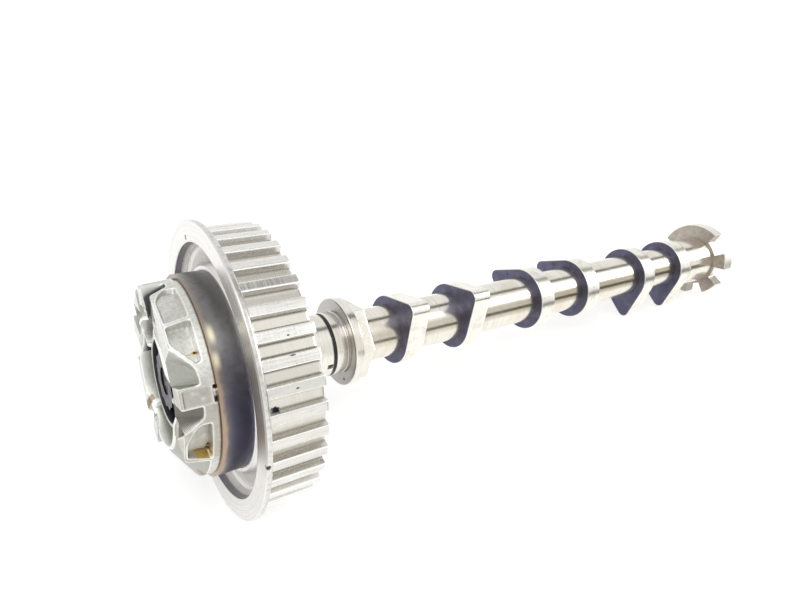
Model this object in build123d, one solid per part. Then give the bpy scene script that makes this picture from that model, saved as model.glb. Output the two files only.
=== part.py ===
from build123d import *
import os
from math import acos, asin, cos, degrees, pi, radians, sin, sqrt

# Camshaft of a three-cylinder engine, with its belt-driven cam phaser at the front.
# Millimetres. +X runs along the shaft, from the phaser to the trigger wheel, and +Z is up.
# Stations are counted along the shaft from the front face of the belt wheel's flange.
# The row frame's origin is on the axis at the middle of the drive journal's bearing length.

# Belt wheel
belt_pitch = 9.525
belt_teeth = 38
pitch_line_offset = 0.7
flange_outer_radius = 60.0
flange_rim_thickness = 2.2
flange_foot_station = 3.4
recess_wall = 2.5
recess_depth = 7.0
wheel_rear_station = 24.4
rim_wall = 4.4
tooth_depth = 3.0
tooth_top_width = 4.0
groove_floor_width = 4.3
tooth_phase = 1.5
web_thickness = 4.0
web_rise = 4.0
web_slope_run = 2.0
hub_wall = 3.2
flange_chamfer = 0.5

# Phaser stator, cover and rear plate
stator_outer_radius = 40.0
stator_front_station = -7.8
stator_rear_station = 14.0
stator_wall = 7.0
lands = 5
pad_angle = 157.5
land_angle = 24.0
rear_plate_thickness = 4.0
rear_plate_step = 0.5
cover_height = 12.2
cover_step = 1.5
cover_rim_height = 3.0
cover_bore_radius = 16.5
bore_ring_wall = 2.0
bore_ring_setback = 2.5
front_recess_depth = 6.0
front_recess_width = 5.0
collar_height = 1.2
collar_wall = 2.0
collar_dip_angle = 36.0
collar_dip_depth = 1.0
front_spoke_width = 2.4
front_spoke_angle = 12.0
pad_half_angle = 5.5
pad_nick_width = 6.4
pad_nick_height = 2.6
pad_nick_depth = 1.8
cover_edge = 1.0
cover_draft = 0.6
deep_pocket_foot_height = 5.8
deep_pocket_foot_angles = (12.0, 14.0)
deep_pocket_top_angles = (18.0, 26.5)
wide_pocket_depth = 3.2
wide_pocket_roof = 0.8
wide_pocket_start_angles = (13.5, 17.0)
diagonal_rib_width = 1.6
divider_angle = 30.5
divider_width = 1.3
pocket_corner_radius = 0.8
pad_panel_depth = 0.35
pad_panel_border = 1.0

# Cover screws
screw_circle_step = 2.0
screw_radius = 2.5
screw_thread_clearance = 0.05
screw_hole_clearance = 0.3
screw_head_radius = 4.0
screw_head_height = 4.0
screw_socket_flats = 4.0
screw_socket_depth = 2.2
screw_bite = 8.0

# Rotor, vanes and seals
rotor_hub_radius = 20.0
side_clearance = 0.04
running_clearance = 0.05
vane_angle = 22.0
stop_clearance_angle = 0.5
seal_width = 2.0
seal_height = 2.4
seal_spring_height = 0.7
seal_spring_wall = 0.2
seal_side_clearance = 0.05

# Lock pin in one vane
lock_vane = 2
lock_slot_wall = 0.9
lock_pin_radius = 2.6
lock_pin_length = 11.0
lock_pin_clearance = 0.05
lock_pin_wall = 0.9
lock_pin_head = 3.5
spring_seat_thickness = 1.0
seat_vent_radius = 0.6
lock_bush_wall = 1.2
lock_bush_depth = 3.5
lock_spring_wire_radius = 0.3
lock_spring_turns = 6

# Control-valve bolt and its spool
bolt_shank_radius = 9.0
bolt_thread_radius = 8.0
bolt_thread_length = 26.0
bolt_head_radius = 13.0
bolt_head_height = 7.6
bolt_points = 12
bolt_washer_height = 2.0
bolt_flange_step = 1.5
bolt_bore_radius = 5.5
bolt_clearance = 0.05
ring_groove_depth = 0.8
ring_thickness = 1.0
ring_setback = 0.8
ring_gap = 2.0
ring_lip = 1.2
spool_clearance = 0.05
spool_length = 24.0
spool_waist_radius = 4.0
spool_chamfer = 0.4
spool_bore_radius = 2.2
spool_bore_depth = 4.0
spool_spring_length = 8.0
spool_spring_wire_radius = 0.4
spool_spring_turns = 5

# Shaft
tube_radius = 12.0
tube_bore_radius = 8.6
journal_radius = 14.0
seal_groove_front_station = 26.8
seal_groove_rear_station = 49.3
seal_groove_width = 1.6
seal_groove_depth = 1.4
seal_ring_clearance = 0.08
seal_gap = 0.5
seal_gap_angle = -60.0
undercut_width = 1.2
undercut_depth = 0.5
tube_socket_depth = 4.0
collar_front_station = 55.8
thrust_collar_radius = 19.8
thrust_collar_thickness = 4.2
thrust_collar_edge = 0.6
hexagon_across_flats = 32.0
hexagon_corner_radius = 18.5
hexagon_width = 6.4
hexagon_corner_angle = 109.0
oil_hole_station = 46.9
oil_hole_angle = 191.0
oil_hole_side = 2.0
dowel_radius = 1.5
dowel_length = 8.0
dowel_circle_radius = 11.4
dowel_angle = 60.0

# Cams
cylinders = 3
cylinder_pitch = 84.0
first_lobe_station = 83.8
lobe_pair_spacing = 35.0
lobe_width = 9.5
base_radius = 16.2
cam_lift = 9.0
nose_radius = 4.0
cam_edge = 0.4
first_nose_angle = 131.0
firing_step = -120.0

# Rear end
rear_journal_radius = 14.5
rear_journal_gap = 2.7
rear_journal_length = 24.0
rear_journal_edge = 0.6
trigger_thickness = 7.6
trigger_radius = 23.1
trigger_root_radius = 16.0
trigger_tooth_angles = ((18.0, 116.0), (149.5, 175.5), (205.0, 233.0), (262.0, 345.0))
end_plug_depth = 6.0
end_plug_wall = 1.5

# How far a cutter stands out past the face that it cuts
overrun = 1.0

# Worked out from the sizes above
origin_station = (seal_groove_front_station + seal_groove_rear_station) / 2
pitch_radius = belt_teeth * belt_pitch / (2 * pi)
tooth_tip_radius = pitch_radius - pitch_line_offset
tooth_root_radius = tooth_tip_radius - tooth_depth
recess_radius = tooth_root_radius - recess_wall
wheel_rim_inner_radius = tooth_root_radius - rim_wall
chamber_radius = stator_outer_radius - stator_wall
rear_plate_radius = stator_outer_radius - rear_plate_step
screw_circle_radius = chamber_radius + screw_circle_step
cover_radius = stator_outer_radius - cover_step
bore_ring_radius = cover_bore_radius + bore_ring_wall
front_recess_radius = bore_ring_radius + front_recess_width
deep_pocket_floor = front_recess_radius + collar_wall
wide_pocket_floor = cover_radius - wide_pocket_depth
cover_front_station = stator_front_station - cover_height
collar_tip_station = cover_front_station - collar_height
rear_plate_station = stator_rear_station + rear_plate_thickness
rotor_front_station = stator_front_station + side_clearance
rotor_rear_station = stator_rear_station - side_clearance
land_step = 360.0 / lands
vane_middle_angle = pad_angle + land_step / 2
nose_front_station = rotor_rear_station
hexagon_start_station = collar_front_station + thrust_collar_thickness
journal_rear_station = hexagon_start_station + hexagon_width
tube_front_station = collar_front_station - tube_socket_depth
last_lobe_station = first_lobe_station + (cylinders - 1) * cylinder_pitch + lobe_pair_spacing
rear_journal_start = last_lobe_station + lobe_width + rear_journal_gap
trigger_front_station = rear_journal_start + rear_journal_length
tube_rear_station = trigger_front_station + trigger_thickness
land_tip_radius = rotor_hub_radius + running_clearance
vane_tip_radius = chamber_radius - running_clearance
lock_bore_radius = lock_pin_radius + lock_pin_clearance
lock_circle_radius = vane_tip_radius - seal_height - seal_spring_height - lock_slot_wall - lock_bore_radius
bolt_tip_station = nose_front_station + bolt_thread_length
bolt_head_station = rotor_front_station - bolt_washer_height - bolt_head_height
spool_radius = bolt_bore_radius - spool_clearance
spool_front_station = bolt_head_station + ring_setback + ring_thickness + spool_clearance
bolt_bore_end = spool_front_station + spool_length + spool_spring_length


def place(station, angle=0.0):
    """A plane across the shaft at a station, its own X pointing outwards at the angle."""
    radial = (0, cos(radians(angle)), sin(radians(angle)))
    return Plane(origin=(station, 0, 0), x_dir=radial, z_dir=(1, 0, 0))


def polar(radius, angle):
    """A point of a cross plane whose X points at angle 0."""
    return (radius * cos(radians(angle)), radius * sin(radians(angle)))


def disc(radius, start, end):
    """A plain cylinder about the shaft axis between two stations."""
    return extrude(place(start) * Circle(radius), end - start)


def ring(outer, inner, start, end):
    """A plain ring about the shaft axis between two stations."""
    return extrude(place(start) * (Circle(outer) - Circle(inner)), end - start)


def turned(points):
    """A turned solid from (station, radius) points about the shaft axis."""
    outline = Polyline(*[(x, r) for x, r in points], close=True)
    return revolve(make_face(outline), Axis.X)


def sector(inner, outer, start_angle, end_angle):
    """A flat ring sector in a cross plane."""
    middle = (start_angle + end_angle) / 2
    edges = [
        ThreePointArc(polar(outer, start_angle), polar(outer, middle), polar(outer, end_angle)),
        Line(polar(outer, end_angle), polar(inner, end_angle)),
        ThreePointArc(polar(inner, end_angle), polar(inner, middle), polar(inner, start_angle)),
        Line(polar(inner, start_angle), polar(outer, start_angle)),
    ]
    return make_face(edges)


def around(shape, count, first_angle=0.0):
    """Copies of a shape turned evenly about the shaft axis."""
    step = 360.0 / count
    return [Rot(X=first_angle + k * step) * shape for k in range(count)]


def radial_hole(radius_from, station, angle, side):
    """A square hole cutter that runs in from the surface to the axis."""
    outward = (Align.CENTER, Align.MIN, Align.CENTER)
    return Rot(X=angle) * Pos(station, 0, 0) * Box(side, radius_from, side, align=outward)


def spring_coil(wire_radius, coil_radius, start, end, turns, centre=(0, 0)):
    """A closed helical spring along the shaft between two stations."""
    height = end - start - 2 * wire_radius
    path = Helix(height / turns, height, coil_radius, direction=(1, 0, 0))
    profile = Plane(origin=path @ 0, z_dir=path % 0) * Circle(wire_radius)
    return Pos(start + wire_radius, *centre) * sweep(profile, path=path)


def belt_wheel():
    """Belt wheel: grooved rim with one flange, a dished web and the hub ring round the stator."""
    hub_radius = stator_outer_radius + hub_wall
    web_front = recess_depth
    hub_front = web_front - web_rise
    body = turned([
        (0.0, recess_radius), (0.0, flange_outer_radius - flange_chamfer),
        (flange_chamfer, flange_outer_radius),
        (flange_rim_thickness, flange_outer_radius), (flange_foot_station, tooth_tip_radius),
        (wheel_rear_station, tooth_tip_radius), (wheel_rear_station, wheel_rim_inner_radius),
        (web_front + web_thickness, wheel_rim_inner_radius),
        (web_front + web_thickness, hub_radius), (stator_rear_station, hub_radius),
        (stator_rear_station, stator_outer_radius), (hub_front, stator_outer_radius),
        (hub_front, stator_outer_radius + hub_wall / 2), (web_front, hub_radius + web_slope_run),
        (web_front, recess_radius - web_slope_run / 2),
    ])
    tip = tooth_tip_radius + overrun
    tooth_half = degrees(asin(tooth_top_width / 2 / tooth_tip_radius))
    mouth_half = 180.0 / belt_teeth - tooth_half
    mouth = tooth_tip_radius * sin(radians(mouth_half))
    groove = Polygon(
        (tooth_root_radius, -groove_floor_width / 2), (tip, -mouth), (tip, mouth),
        (tooth_root_radius, groove_floor_width / 2), align=None)
    step = 360.0 / belt_teeth
    grooves = Sketch() + [Rot(Z=tooth_phase + k * step) * groove for k in range(belt_teeth)]
    length = wheel_rear_station - flange_foot_station
    body -= extrude(place(flange_foot_station) * grooves, length)
    return body


def land_profile(angle):
    """One stator land, from the rotor's hub to inside the outer band."""
    half = land_angle / 2
    return sector(land_tip_radius, chamber_radius + overrun, angle - half, angle + half)


def seal_slot(radius, angle, clearance, inward):
    """The slot for a tip seal and its leaf spring, seen along the shaft."""
    depth = seal_height + seal_spring_height
    low = radius - overrun if inward else radius - depth
    high = radius + depth if inward else radius + overrun
    width = seal_width + 2 * clearance
    slot = Pos((low + high) / 2, 0) * Rectangle(high - low, width)
    return Rot(Z=angle) * slot


def stator():
    """Sintered stator: outer band, five lands, seal slots and screw holes."""
    profile = Circle(stator_outer_radius) - Circle(chamber_radius)
    for k in range(lands):
        profile += land_profile(pad_angle + k * land_step)
    for k in range(lands):
        angle = pad_angle + k * land_step
        profile -= seal_slot(land_tip_radius, angle, seal_side_clearance, True)
        profile -= Pos(*polar(screw_circle_radius, angle)) * Circle(screw_radius + screw_hole_clearance)
    return extrude(place(stator_front_station) * profile, stator_rear_station - stator_front_station)


def side_pocket(corners, floor_radius):
    """Cutter for a flat-floored pocket in the cover's side, from (height, degrees from the pad) corners."""
    angles = [angle for _, angle in corners]
    middle = (min(angles) + max(angles)) / 2
    points = [(height, cover_radius * sin(radians(angle - middle))) for height, angle in corners]
    outline = Polygon(*points, align=None)
    outline = fillet(outline.vertices(), pocket_corner_radius)
    plane = Plane(origin=(stator_front_station, floor_radius, 0), x_dir=(-1, 0, 0), z_dir=(0, 1, 0))
    return Rot(X=middle) * extrude(plane * outline, cover_radius + overrun - floor_radius)


def pocket_corners(side):
    """Corners of the deep and the wide pocket on one side of a pad, side 0 ahead of it and 1 behind."""
    hand = (1, -1)[side]
    low, high = deep_pocket_foot_angles[side], deep_pocket_top_angles[side]
    near, start = pad_half_angle, wide_pocket_start_angles[side]
    foot, brow = deep_pocket_foot_height, cover_height + collar_height + overrun
    arc = radians(1.0) * cover_radius
    slope = (high - low) / (cover_height - foot)
    deep = [(foot, near), (foot, low), (brow, low + slope * (brow - foot)), (brow, near)]
    rib_line = low + diagonal_rib_width * sqrt(1 + (slope * arc)**2) / arc
    roof = cover_height - wide_pocket_roof
    middle = (divider_angle, land_step - divider_angle)[side]
    edge = middle - divider_width / 2 / arc
    turn_height = foot + (start - rib_line) / slope
    roof_angle = rib_line + slope * (roof - foot)
    wide = [(cover_rim_height, start), (cover_rim_height, edge), (roof, edge), (roof, roof_angle),
            (turn_height, start)]
    return [[(height, hand * angle) for height, angle in corners] for corners in (deep, wide)]


def pad_panels():
    """Cutters that sink the middle of each pad's face inside a raised border."""
    base, front = stator_front_station, cover_front_station
    low, high = base - pad_nick_height / 2 - pad_panel_border / 2, front + pad_panel_border
    inner = cover_radius - pad_panel_depth
    fall = cover_draft / (cover_height - cover_edge)
    skin = turned([
        (low, inner - fall * (base - low)), (low, cover_radius + overrun),
        (high, cover_radius + overrun), (high, inner - fall * (base - high))])
    half = pad_half_angle - degrees(pad_panel_border / cover_radius)
    wedge = sector(deep_pocket_floor, cover_radius + 2 * overrun, -half, half)
    return around(skin & extrude(place(high) * wedge, low - high), lands, pad_angle)


def front_cover():
    """Die-cast front cover: pads over the screws, ribs and pockets round the side, open centre."""
    front = cover_front_station
    base = stator_front_station
    recess_floor = front + front_recess_depth
    ring_front = front + bore_ring_setback
    body = turned([
        (base, cover_bore_radius), (base, cover_radius), (front + cover_edge, cover_radius - cover_draft),
        (front, cover_radius - cover_draft - cover_edge), (front, deep_pocket_floor),
        (collar_tip_station, deep_pocket_floor), (collar_tip_station, front_recess_radius),
        (recess_floor, front_recess_radius), (recess_floor, bore_ring_radius),
        (ring_front, bore_ring_radius), (ring_front, cover_bore_radius),
    ])
    for side in range(2):
        deep, wide = pocket_corners(side)
        body -= around(side_pocket(deep, deep_pocket_floor), lands, pad_angle)
        body -= around(side_pocket(wide, wide_pocket_floor), lands, pad_angle)
    body -= pad_panels()
    half = collar_dip_angle / 2
    dip = sector(bore_ring_radius, deep_pocket_floor + collar_wall, -half, half)
    lowest = front + collar_dip_depth
    body -= around(extrude(place(collar_tip_station - overrun) * dip, lowest - collar_tip_station + overrun),
                   lands, pad_angle)
    reach = front_recess_width + collar_wall
    spoke = Pos((bore_ring_radius + front_recess_radius) / 2, 0) * Rectangle(reach, front_spoke_width)
    spoke = extrude(place(lowest) * spoke, recess_floor + bore_ring_wall - lowest)
    body += around(spoke, lands, pad_angle + front_spoke_angle)
    nick = Pos(base, cover_radius, 0) * Box(pad_nick_height, pad_nick_depth, pad_nick_width)
    body -= around(nick, lands, pad_angle)
    hole_end = base - screw_bite - screw_hole_clearance
    for k in range(lands):
        angle = pad_angle + k * land_step
        spot = Pos(*polar(screw_circle_radius, angle))
        thread = spot * Circle(screw_radius + screw_thread_clearance)
        body -= extrude(place(hole_end) * thread, base - hole_end)
    spot = Pos(*polar(lock_circle_radius, lock_angle() - stop_range() / 2))
    bush_radius = lock_bore_radius + lock_bush_wall
    body -= extrude(place(base - lock_bush_depth) * spot * Circle(bush_radius), lock_bush_depth)
    return body


def stop_range():
    """Angle between the phaser's two stops."""
    return land_step - land_angle - vane_angle - 2 * stop_clearance_angle


def lock_angle():
    """Angle of the vane that carries the lock pin."""
    return vane_middle_angle + lock_vane * land_step


def lock_bush():
    """Hardened bush in the cover, which the pin enters at the parked stop."""
    spot = Pos(*polar(lock_circle_radius, lock_angle() - stop_range() / 2))
    profile = spot * (Circle(lock_bore_radius + lock_bush_wall) - Circle(lock_bore_radius))
    return extrude(place(stator_front_station - lock_bush_depth) * profile, lock_bush_depth - side_clearance)


def rear_plate():
    """Steel plate that closes the chambers at the rear and runs on the shaft's nose."""
    profile = Circle(rear_plate_radius) - Circle(journal_radius + running_clearance)
    for k in range(lands):
        spot = Pos(*polar(screw_circle_radius, pad_angle + k * land_step))
        profile -= spot * Circle(screw_radius + screw_hole_clearance)
    return extrude(place(stator_rear_station) * profile, rear_plate_thickness)


def cover_screws():
    """Five socket screws from the rear, through plate and stator into the cover's pads."""
    start = stator_front_station - screw_bite
    head_end = rear_plate_station + screw_head_height
    screw = disc(screw_radius, start, rear_plate_station)
    screw += disc(screw_head_radius, rear_plate_station, head_end)
    socket = extrude(place(head_end - screw_socket_depth) * RegularPolygon(screw_socket_flats / sqrt(3), 6),
                     screw_socket_depth)
    screw -= socket
    screw = Pos(0, screw_circle_radius, 0) * screw
    return Compound(children=[Solid(s.solid().wrapped) for s in around(screw, lands, pad_angle)])


def rotor():
    """Rotor: hub with five vanes, seal slots, the pin bore and the dowel hole."""
    profile = Circle(rotor_hub_radius)
    for k in range(lands):
        angle = vane_middle_angle + k * land_step
        half = vane_angle / 2
        profile += sector(rotor_hub_radius - overrun, vane_tip_radius, angle - half, angle + half)
    profile -= Circle(bolt_shank_radius + bolt_clearance)
    for k in range(lands):
        profile -= seal_slot(vane_tip_radius, vane_middle_angle + k * land_step, seal_side_clearance, False)
    length = rotor_rear_station - rotor_front_station
    body = extrude(place(rotor_front_station) * profile, length)
    spot = Pos(*polar(lock_circle_radius, lock_angle()))
    body -= extrude(place(rotor_front_station) * spot * Circle(lock_bore_radius), length)
    spot = Pos(*polar(dowel_circle_radius, dowel_angle))
    depth = dowel_length / 2 + 0.2
    body -= extrude(place(rotor_rear_station - depth) * spot * Circle(dowel_radius), depth)
    return body


def tip_seals(radius, first_angle, inward):
    """Five seal strips, each with its outer face on the running surface."""
    low = radius if inward else radius - seal_height
    strip = Pos(0, low + seal_height / 2, 0) * Box(seal_length(), seal_height, seal_width)
    strip = Pos((stator_front_station + stator_rear_station) / 2, 0, 0) * strip
    return Compound(children=[Solid(s.solid().wrapped) for s in around(strip, lands, first_angle)])


def seal_length():
    """Seal strips fill the phaser's depth but for the side clearance."""
    return stator_rear_station - stator_front_station - 2 * side_clearance


def seal_springs(radius, first_angle, inward):
    """Five bowed leaf springs between the seal strips and the floors of their slots."""
    half = seal_length() / 2 - 0.5
    bow = seal_spring_height - seal_spring_wall
    low = radius + seal_height if inward else radius - seal_height - seal_spring_height
    arc = ThreePointArc((-half, 0), (0, bow), (half, 0))
    back = ThreePointArc((half, seal_spring_wall), (0, bow + seal_spring_wall), (-half, seal_spring_wall))
    outline = [arc, Line(arc @ 1, back @ 0), back, Line(back @ 1, arc @ 0)]
    middle = (stator_front_station + stator_rear_station) / 2
    plane = Plane(origin=(middle, low, 0), x_dir=(1, 0, 0), z_dir=(0, 0, 1))
    spring = extrude(plane * make_face(outline), seal_width / 2 - 0.1, both=True)
    return Compound(children=[Solid(s.solid().wrapped) for s in around(spring, lands, first_angle)])


def lock_pin():
    """Stepped lock pin with a blind bore for its spring."""
    start = rotor_front_station
    body = disc(lock_pin_radius, start, start + lock_pin_length)
    body -= disc(lock_pin_radius - lock_pin_wall, start + lock_pin_head, start + lock_pin_length)
    return Pos(0, *polar(lock_circle_radius, lock_angle())) * body


def lock_spring():
    """Spring from the pin's bore to the rear plate's side of the rotor."""
    start = rotor_front_station + lock_pin_head
    coil_radius = lock_pin_radius - lock_pin_wall - lock_spring_wire_radius - 2 * lock_pin_clearance
    end = rotor_rear_station - spring_seat_thickness
    centre = polar(lock_circle_radius, lock_angle())
    return spring_coil(lock_spring_wire_radius, coil_radius, start, end, lock_spring_turns, centre)


def lock_spring_seat():
    """Disc pressed into the rear of the pin bore, which the spring bears on."""
    start = rotor_rear_station - spring_seat_thickness
    seat = ring(lock_bore_radius, seat_vent_radius, start, rotor_rear_station)
    return Pos(0, *polar(lock_circle_radius, lock_angle())) * seat


def valve_bolt():
    """Central bolt that clamps the rotor to the shaft and holds the oil-control spool."""
    head = bolt_head_station
    washer = rotor_front_station - bolt_washer_height
    star = Sketch()
    for k in range(bolt_points // 6):
        star += RegularPolygon(bolt_head_radius - bolt_flange_step, 6, rotation=k * 360.0 / bolt_points)
    body = extrude(place(head) * star, bolt_head_height)
    body += disc(bolt_head_radius, washer, rotor_front_station)
    body += disc(bolt_shank_radius, rotor_front_station, rotor_rear_station)
    body += disc(bolt_thread_radius, rotor_rear_station, bolt_tip_station)
    body -= disc(bolt_bore_radius, head, bolt_bore_end)
    groove = head + ring_setback
    body -= disc(bolt_bore_radius + ring_groove_depth, groove, groove + ring_thickness)
    return body


def retaining_ring():
    """Split ring that keeps the spool in the bolt."""
    start = bolt_head_station + ring_setback
    outer = bolt_bore_radius + ring_groove_depth - spool_clearance
    inner = bolt_bore_radius - ring_lip
    profile = Circle(outer) - Circle(inner) - Pos(0, outer) * Rectangle(ring_gap, outer)
    return extrude(place(start) * profile, ring_thickness)


def valve_spool():
    """Spool with two lands and a waist, free to slide in the bolt's bore."""
    start = spool_front_station
    end = start + spool_length
    waist = spool_length / 3
    return turned([
        (start, 0), (start, spool_radius - spool_chamfer), (start + spool_chamfer, spool_radius),
        (start + waist, spool_radius), (start + waist, spool_waist_radius),
        (end - waist, spool_waist_radius), (end - waist, spool_radius), (end, spool_radius),
        (end, spool_bore_radius), (end - spool_bore_depth, spool_bore_radius), (end - spool_bore_depth, 0),
    ])


def spool_spring():
    """Spring between the spool and the floor of the bolt's bore."""
    start = spool_front_station + spool_length
    coil_radius = spool_radius - 2 * spool_spring_wire_radius
    return spring_coil(spool_spring_wire_radius, coil_radius, start, bolt_bore_end, spool_spring_turns)


def drive_journal():
    """Steel nose of the shaft: bearing journal, seal grooves, thrust collar and hexagon."""
    body = disc(journal_radius, nose_front_station, collar_front_station)
    rim, edge = thrust_collar_radius, thrust_collar_edge
    body += turned([
        (collar_front_station, 0), (collar_front_station, rim - edge), (collar_front_station + edge, rim),
        (hexagon_start_station - edge, rim), (hexagon_start_station, rim - edge), (hexagon_start_station, 0)])
    corner = hexagon_across_flats / sqrt(3)
    hexagon = Rot(Z=hexagon_corner_angle) * RegularPolygon(corner, 6)
    hexagon &= Circle(hexagon_corner_radius)
    body += extrude(place(hexagon_start_station) * hexagon, hexagon_width)
    floor = journal_radius - seal_groove_depth
    for station in (seal_groove_front_station, seal_groove_rear_station):
        half = seal_groove_width / 2
        body -= ring(journal_radius + overrun, floor, station - half, station + half)
    end = collar_front_station
    body -= ring(journal_radius + overrun, journal_radius - undercut_depth, end - undercut_width, end)
    body -= disc(bolt_thread_radius, nose_front_station, tube_front_station)
    body -= disc(tube_radius, tube_front_station, journal_rear_station)
    body -= radial_hole(journal_radius + overrun, oil_hole_station, oil_hole_angle, oil_hole_side)
    spot = Pos(*polar(dowel_circle_radius, dowel_angle))
    body -= extrude(place(nose_front_station) * spot * Circle(dowel_radius), dowel_length / 2 + 0.2)
    return body


def seal_ring(station):
    """Split ring in one of the journal's oil-seal grooves."""
    half = seal_groove_width / 2 - seal_ring_clearance
    profile = Circle(journal_radius - seal_ring_clearance)
    profile -= Circle(journal_radius - seal_groove_depth + seal_ring_clearance)
    profile -= Rot(Z=seal_gap_angle) * Pos(journal_radius, 0) * Rectangle(journal_radius, seal_gap)
    return extrude(place(station - half) * profile, 2 * half)


def dowel_pin():
    """Dowel that sets the rotor's angle on the shaft."""
    start = nose_front_station - dowel_length / 2
    return Pos(0, *polar(dowel_circle_radius, dowel_angle)) * disc(dowel_radius, start, start + dowel_length)


def cam_tube():
    """Shaft tube that carries the cams, the rear journal and the trigger wheel."""
    body = ring(tube_radius, tube_bore_radius, tube_front_station, tube_rear_station)
    return body


def cam_lobe(station, nose_angle):
    """One cam: base circle, straight flanks and a small round nose, bored for the tube."""
    nose_distance = base_radius + cam_lift - nose_radius
    flank = degrees(acos((base_radius - nose_radius) / nose_distance))
    tip = (nose_distance + nose_radius, 0)
    base_top = polar(base_radius, flank)
    base_low = polar(base_radius, -flank)
    nose_top = (nose_distance + nose_radius * cos(radians(flank)), nose_radius * sin(radians(flank)))
    nose_low = (nose_top[0], -nose_top[1])
    edges = [
        ThreePointArc(base_low, (-base_radius, 0), base_top), Line(base_top, nose_top),
        ThreePointArc(nose_top, tip, nose_low), Line(nose_low, base_low),
    ]
    body = extrude(place(station, nose_angle) * make_face(edges), lobe_width)
    rims = [edge for face in body.faces().filter_by(Axis.X) for edge in face.edges()]
    body = chamfer(rims, cam_edge)
    return body - disc(tube_radius, station, station + lobe_width)


def rear_journal():
    """Ground sleeve on the tube for the last bearing."""
    start, end = rear_journal_start, trigger_front_station
    outer, edge = rear_journal_radius, rear_journal_edge
    return turned([
        (start, tube_radius), (start, outer - edge), (start + edge, outer), (end - edge, outer),
        (end, outer - edge), (end, tube_radius)])


def trigger_wheel():
    """Cam-position wheel: a thick disc with unequal teeth round its rim."""
    profile = Circle(trigger_root_radius)
    for start, end in trigger_tooth_angles:
        profile += sector(trigger_root_radius - overrun, trigger_radius, start, end)
    profile -= Circle(tube_radius)
    return extrude(place(trigger_front_station) * profile, trigger_thickness)


def end_plug():
    """Cup plug that closes the tube's rear end."""
    end = tube_rear_station
    body = disc(tube_bore_radius, end - end_plug_depth, end)
    body -= disc(tube_bore_radius - end_plug_wall, end - end_plug_depth + end_plug_wall, end)
    return body


def write(name, shape):
    """Move a solid into the row frame and write its file."""
    export_step(Pos(-origin_station, 0, 0) * shape, f"parts/{name}.step")


def build():
    """Every node of the part, by name."""
    nodes = {
        "belt_wheel": belt_wheel(), "stator": stator(), "front_cover": front_cover(),
        "rear_plate": rear_plate(), "cover_screws": cover_screws(), "lock_bush": lock_bush(),
        "land_seals": tip_seals(land_tip_radius, pad_angle, True),
        "land_seal_springs": seal_springs(land_tip_radius, pad_angle, True),
        "rotor": rotor(),
        "vane_seals": tip_seals(vane_tip_radius, vane_middle_angle, False),
        "vane_seal_springs": seal_springs(vane_tip_radius, vane_middle_angle, False),
        "lock_pin": lock_pin(), "lock_spring": lock_spring(), "lock_spring_seat": lock_spring_seat(),
        "valve_bolt": valve_bolt(), "valve_spool": valve_spool(), "spool_spring": spool_spring(),
        "retaining_ring": retaining_ring(),
        "drive_journal": drive_journal(), "dowel_pin": dowel_pin(),
        "seal_ring_front": seal_ring(seal_groove_front_station),
        "seal_ring_rear": seal_ring(seal_groove_rear_station),
        "cam_tube": cam_tube(), "rear_journal": rear_journal(), "trigger_wheel": trigger_wheel(),
        "end_plug": end_plug(),
    }
    for cylinder in range(cylinders):
        nose_angle = first_nose_angle + cylinder * firing_step
        for side in range(2):
            station = first_lobe_station + cylinder * cylinder_pitch + side * lobe_pair_spacing
            nodes[f"cam_lobe_{2 * cylinder + side + 1}"] = cam_lobe(station, nose_angle)
    return nodes


os.makedirs("parts", exist_ok=True)
for node, solid in build().items():
    write(node, solid)
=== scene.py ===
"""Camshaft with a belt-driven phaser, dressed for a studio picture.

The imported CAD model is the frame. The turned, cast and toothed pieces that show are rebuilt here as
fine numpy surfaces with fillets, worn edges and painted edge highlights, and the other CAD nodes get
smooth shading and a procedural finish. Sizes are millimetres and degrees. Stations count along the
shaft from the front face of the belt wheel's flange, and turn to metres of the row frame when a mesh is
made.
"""
import logging
import math
from dataclasses import dataclass, field
from enum import Enum, auto
from typing import Any, Mapping, Sequence

import bmesh
import bpy
import numpy as np
from mathutils import Matrix, Vector


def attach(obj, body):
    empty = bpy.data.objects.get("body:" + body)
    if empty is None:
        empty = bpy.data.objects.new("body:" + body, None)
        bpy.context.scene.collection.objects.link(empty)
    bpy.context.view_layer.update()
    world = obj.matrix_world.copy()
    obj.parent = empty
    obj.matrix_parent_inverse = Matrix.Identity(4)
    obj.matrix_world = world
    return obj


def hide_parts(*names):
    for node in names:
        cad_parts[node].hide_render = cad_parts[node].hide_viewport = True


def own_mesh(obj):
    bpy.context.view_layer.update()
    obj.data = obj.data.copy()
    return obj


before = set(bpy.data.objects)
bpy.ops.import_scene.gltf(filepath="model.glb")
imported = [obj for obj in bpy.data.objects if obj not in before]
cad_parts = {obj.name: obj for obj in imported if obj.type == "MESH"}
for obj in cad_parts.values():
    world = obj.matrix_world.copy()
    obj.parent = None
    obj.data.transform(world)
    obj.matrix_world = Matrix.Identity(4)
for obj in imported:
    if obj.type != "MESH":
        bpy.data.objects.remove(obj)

LOG = logging.getLogger("camshaft")
MM = 0.001
MM_PER_METRE = 1000.0
ORIGIN_STATION = 38.05  # station of the row frame's origin
WELD = 2e-6  # metres within which the loose corners of a CAD mesh join
Array = np.ndarray
Socket = bpy.types.NodeSocket
Tree = bpy.types.NodeTree
Material = bpy.types.Material
Painted = tuple[Any, Any, Any]  # sockets of colour, roughness and height
Corners = tuple[tuple[float, float], ...]
Rows = tuple[Array, Array, Array, Array]  # station, radius, and the masks edge (painted highlight) and pit (painted shade)


class Body(Enum):
    """The CAD bodies that rebuilt pieces ride on."""

    SHAFT = "camshaft"
    HOUSING = "phaser_housing"


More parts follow.
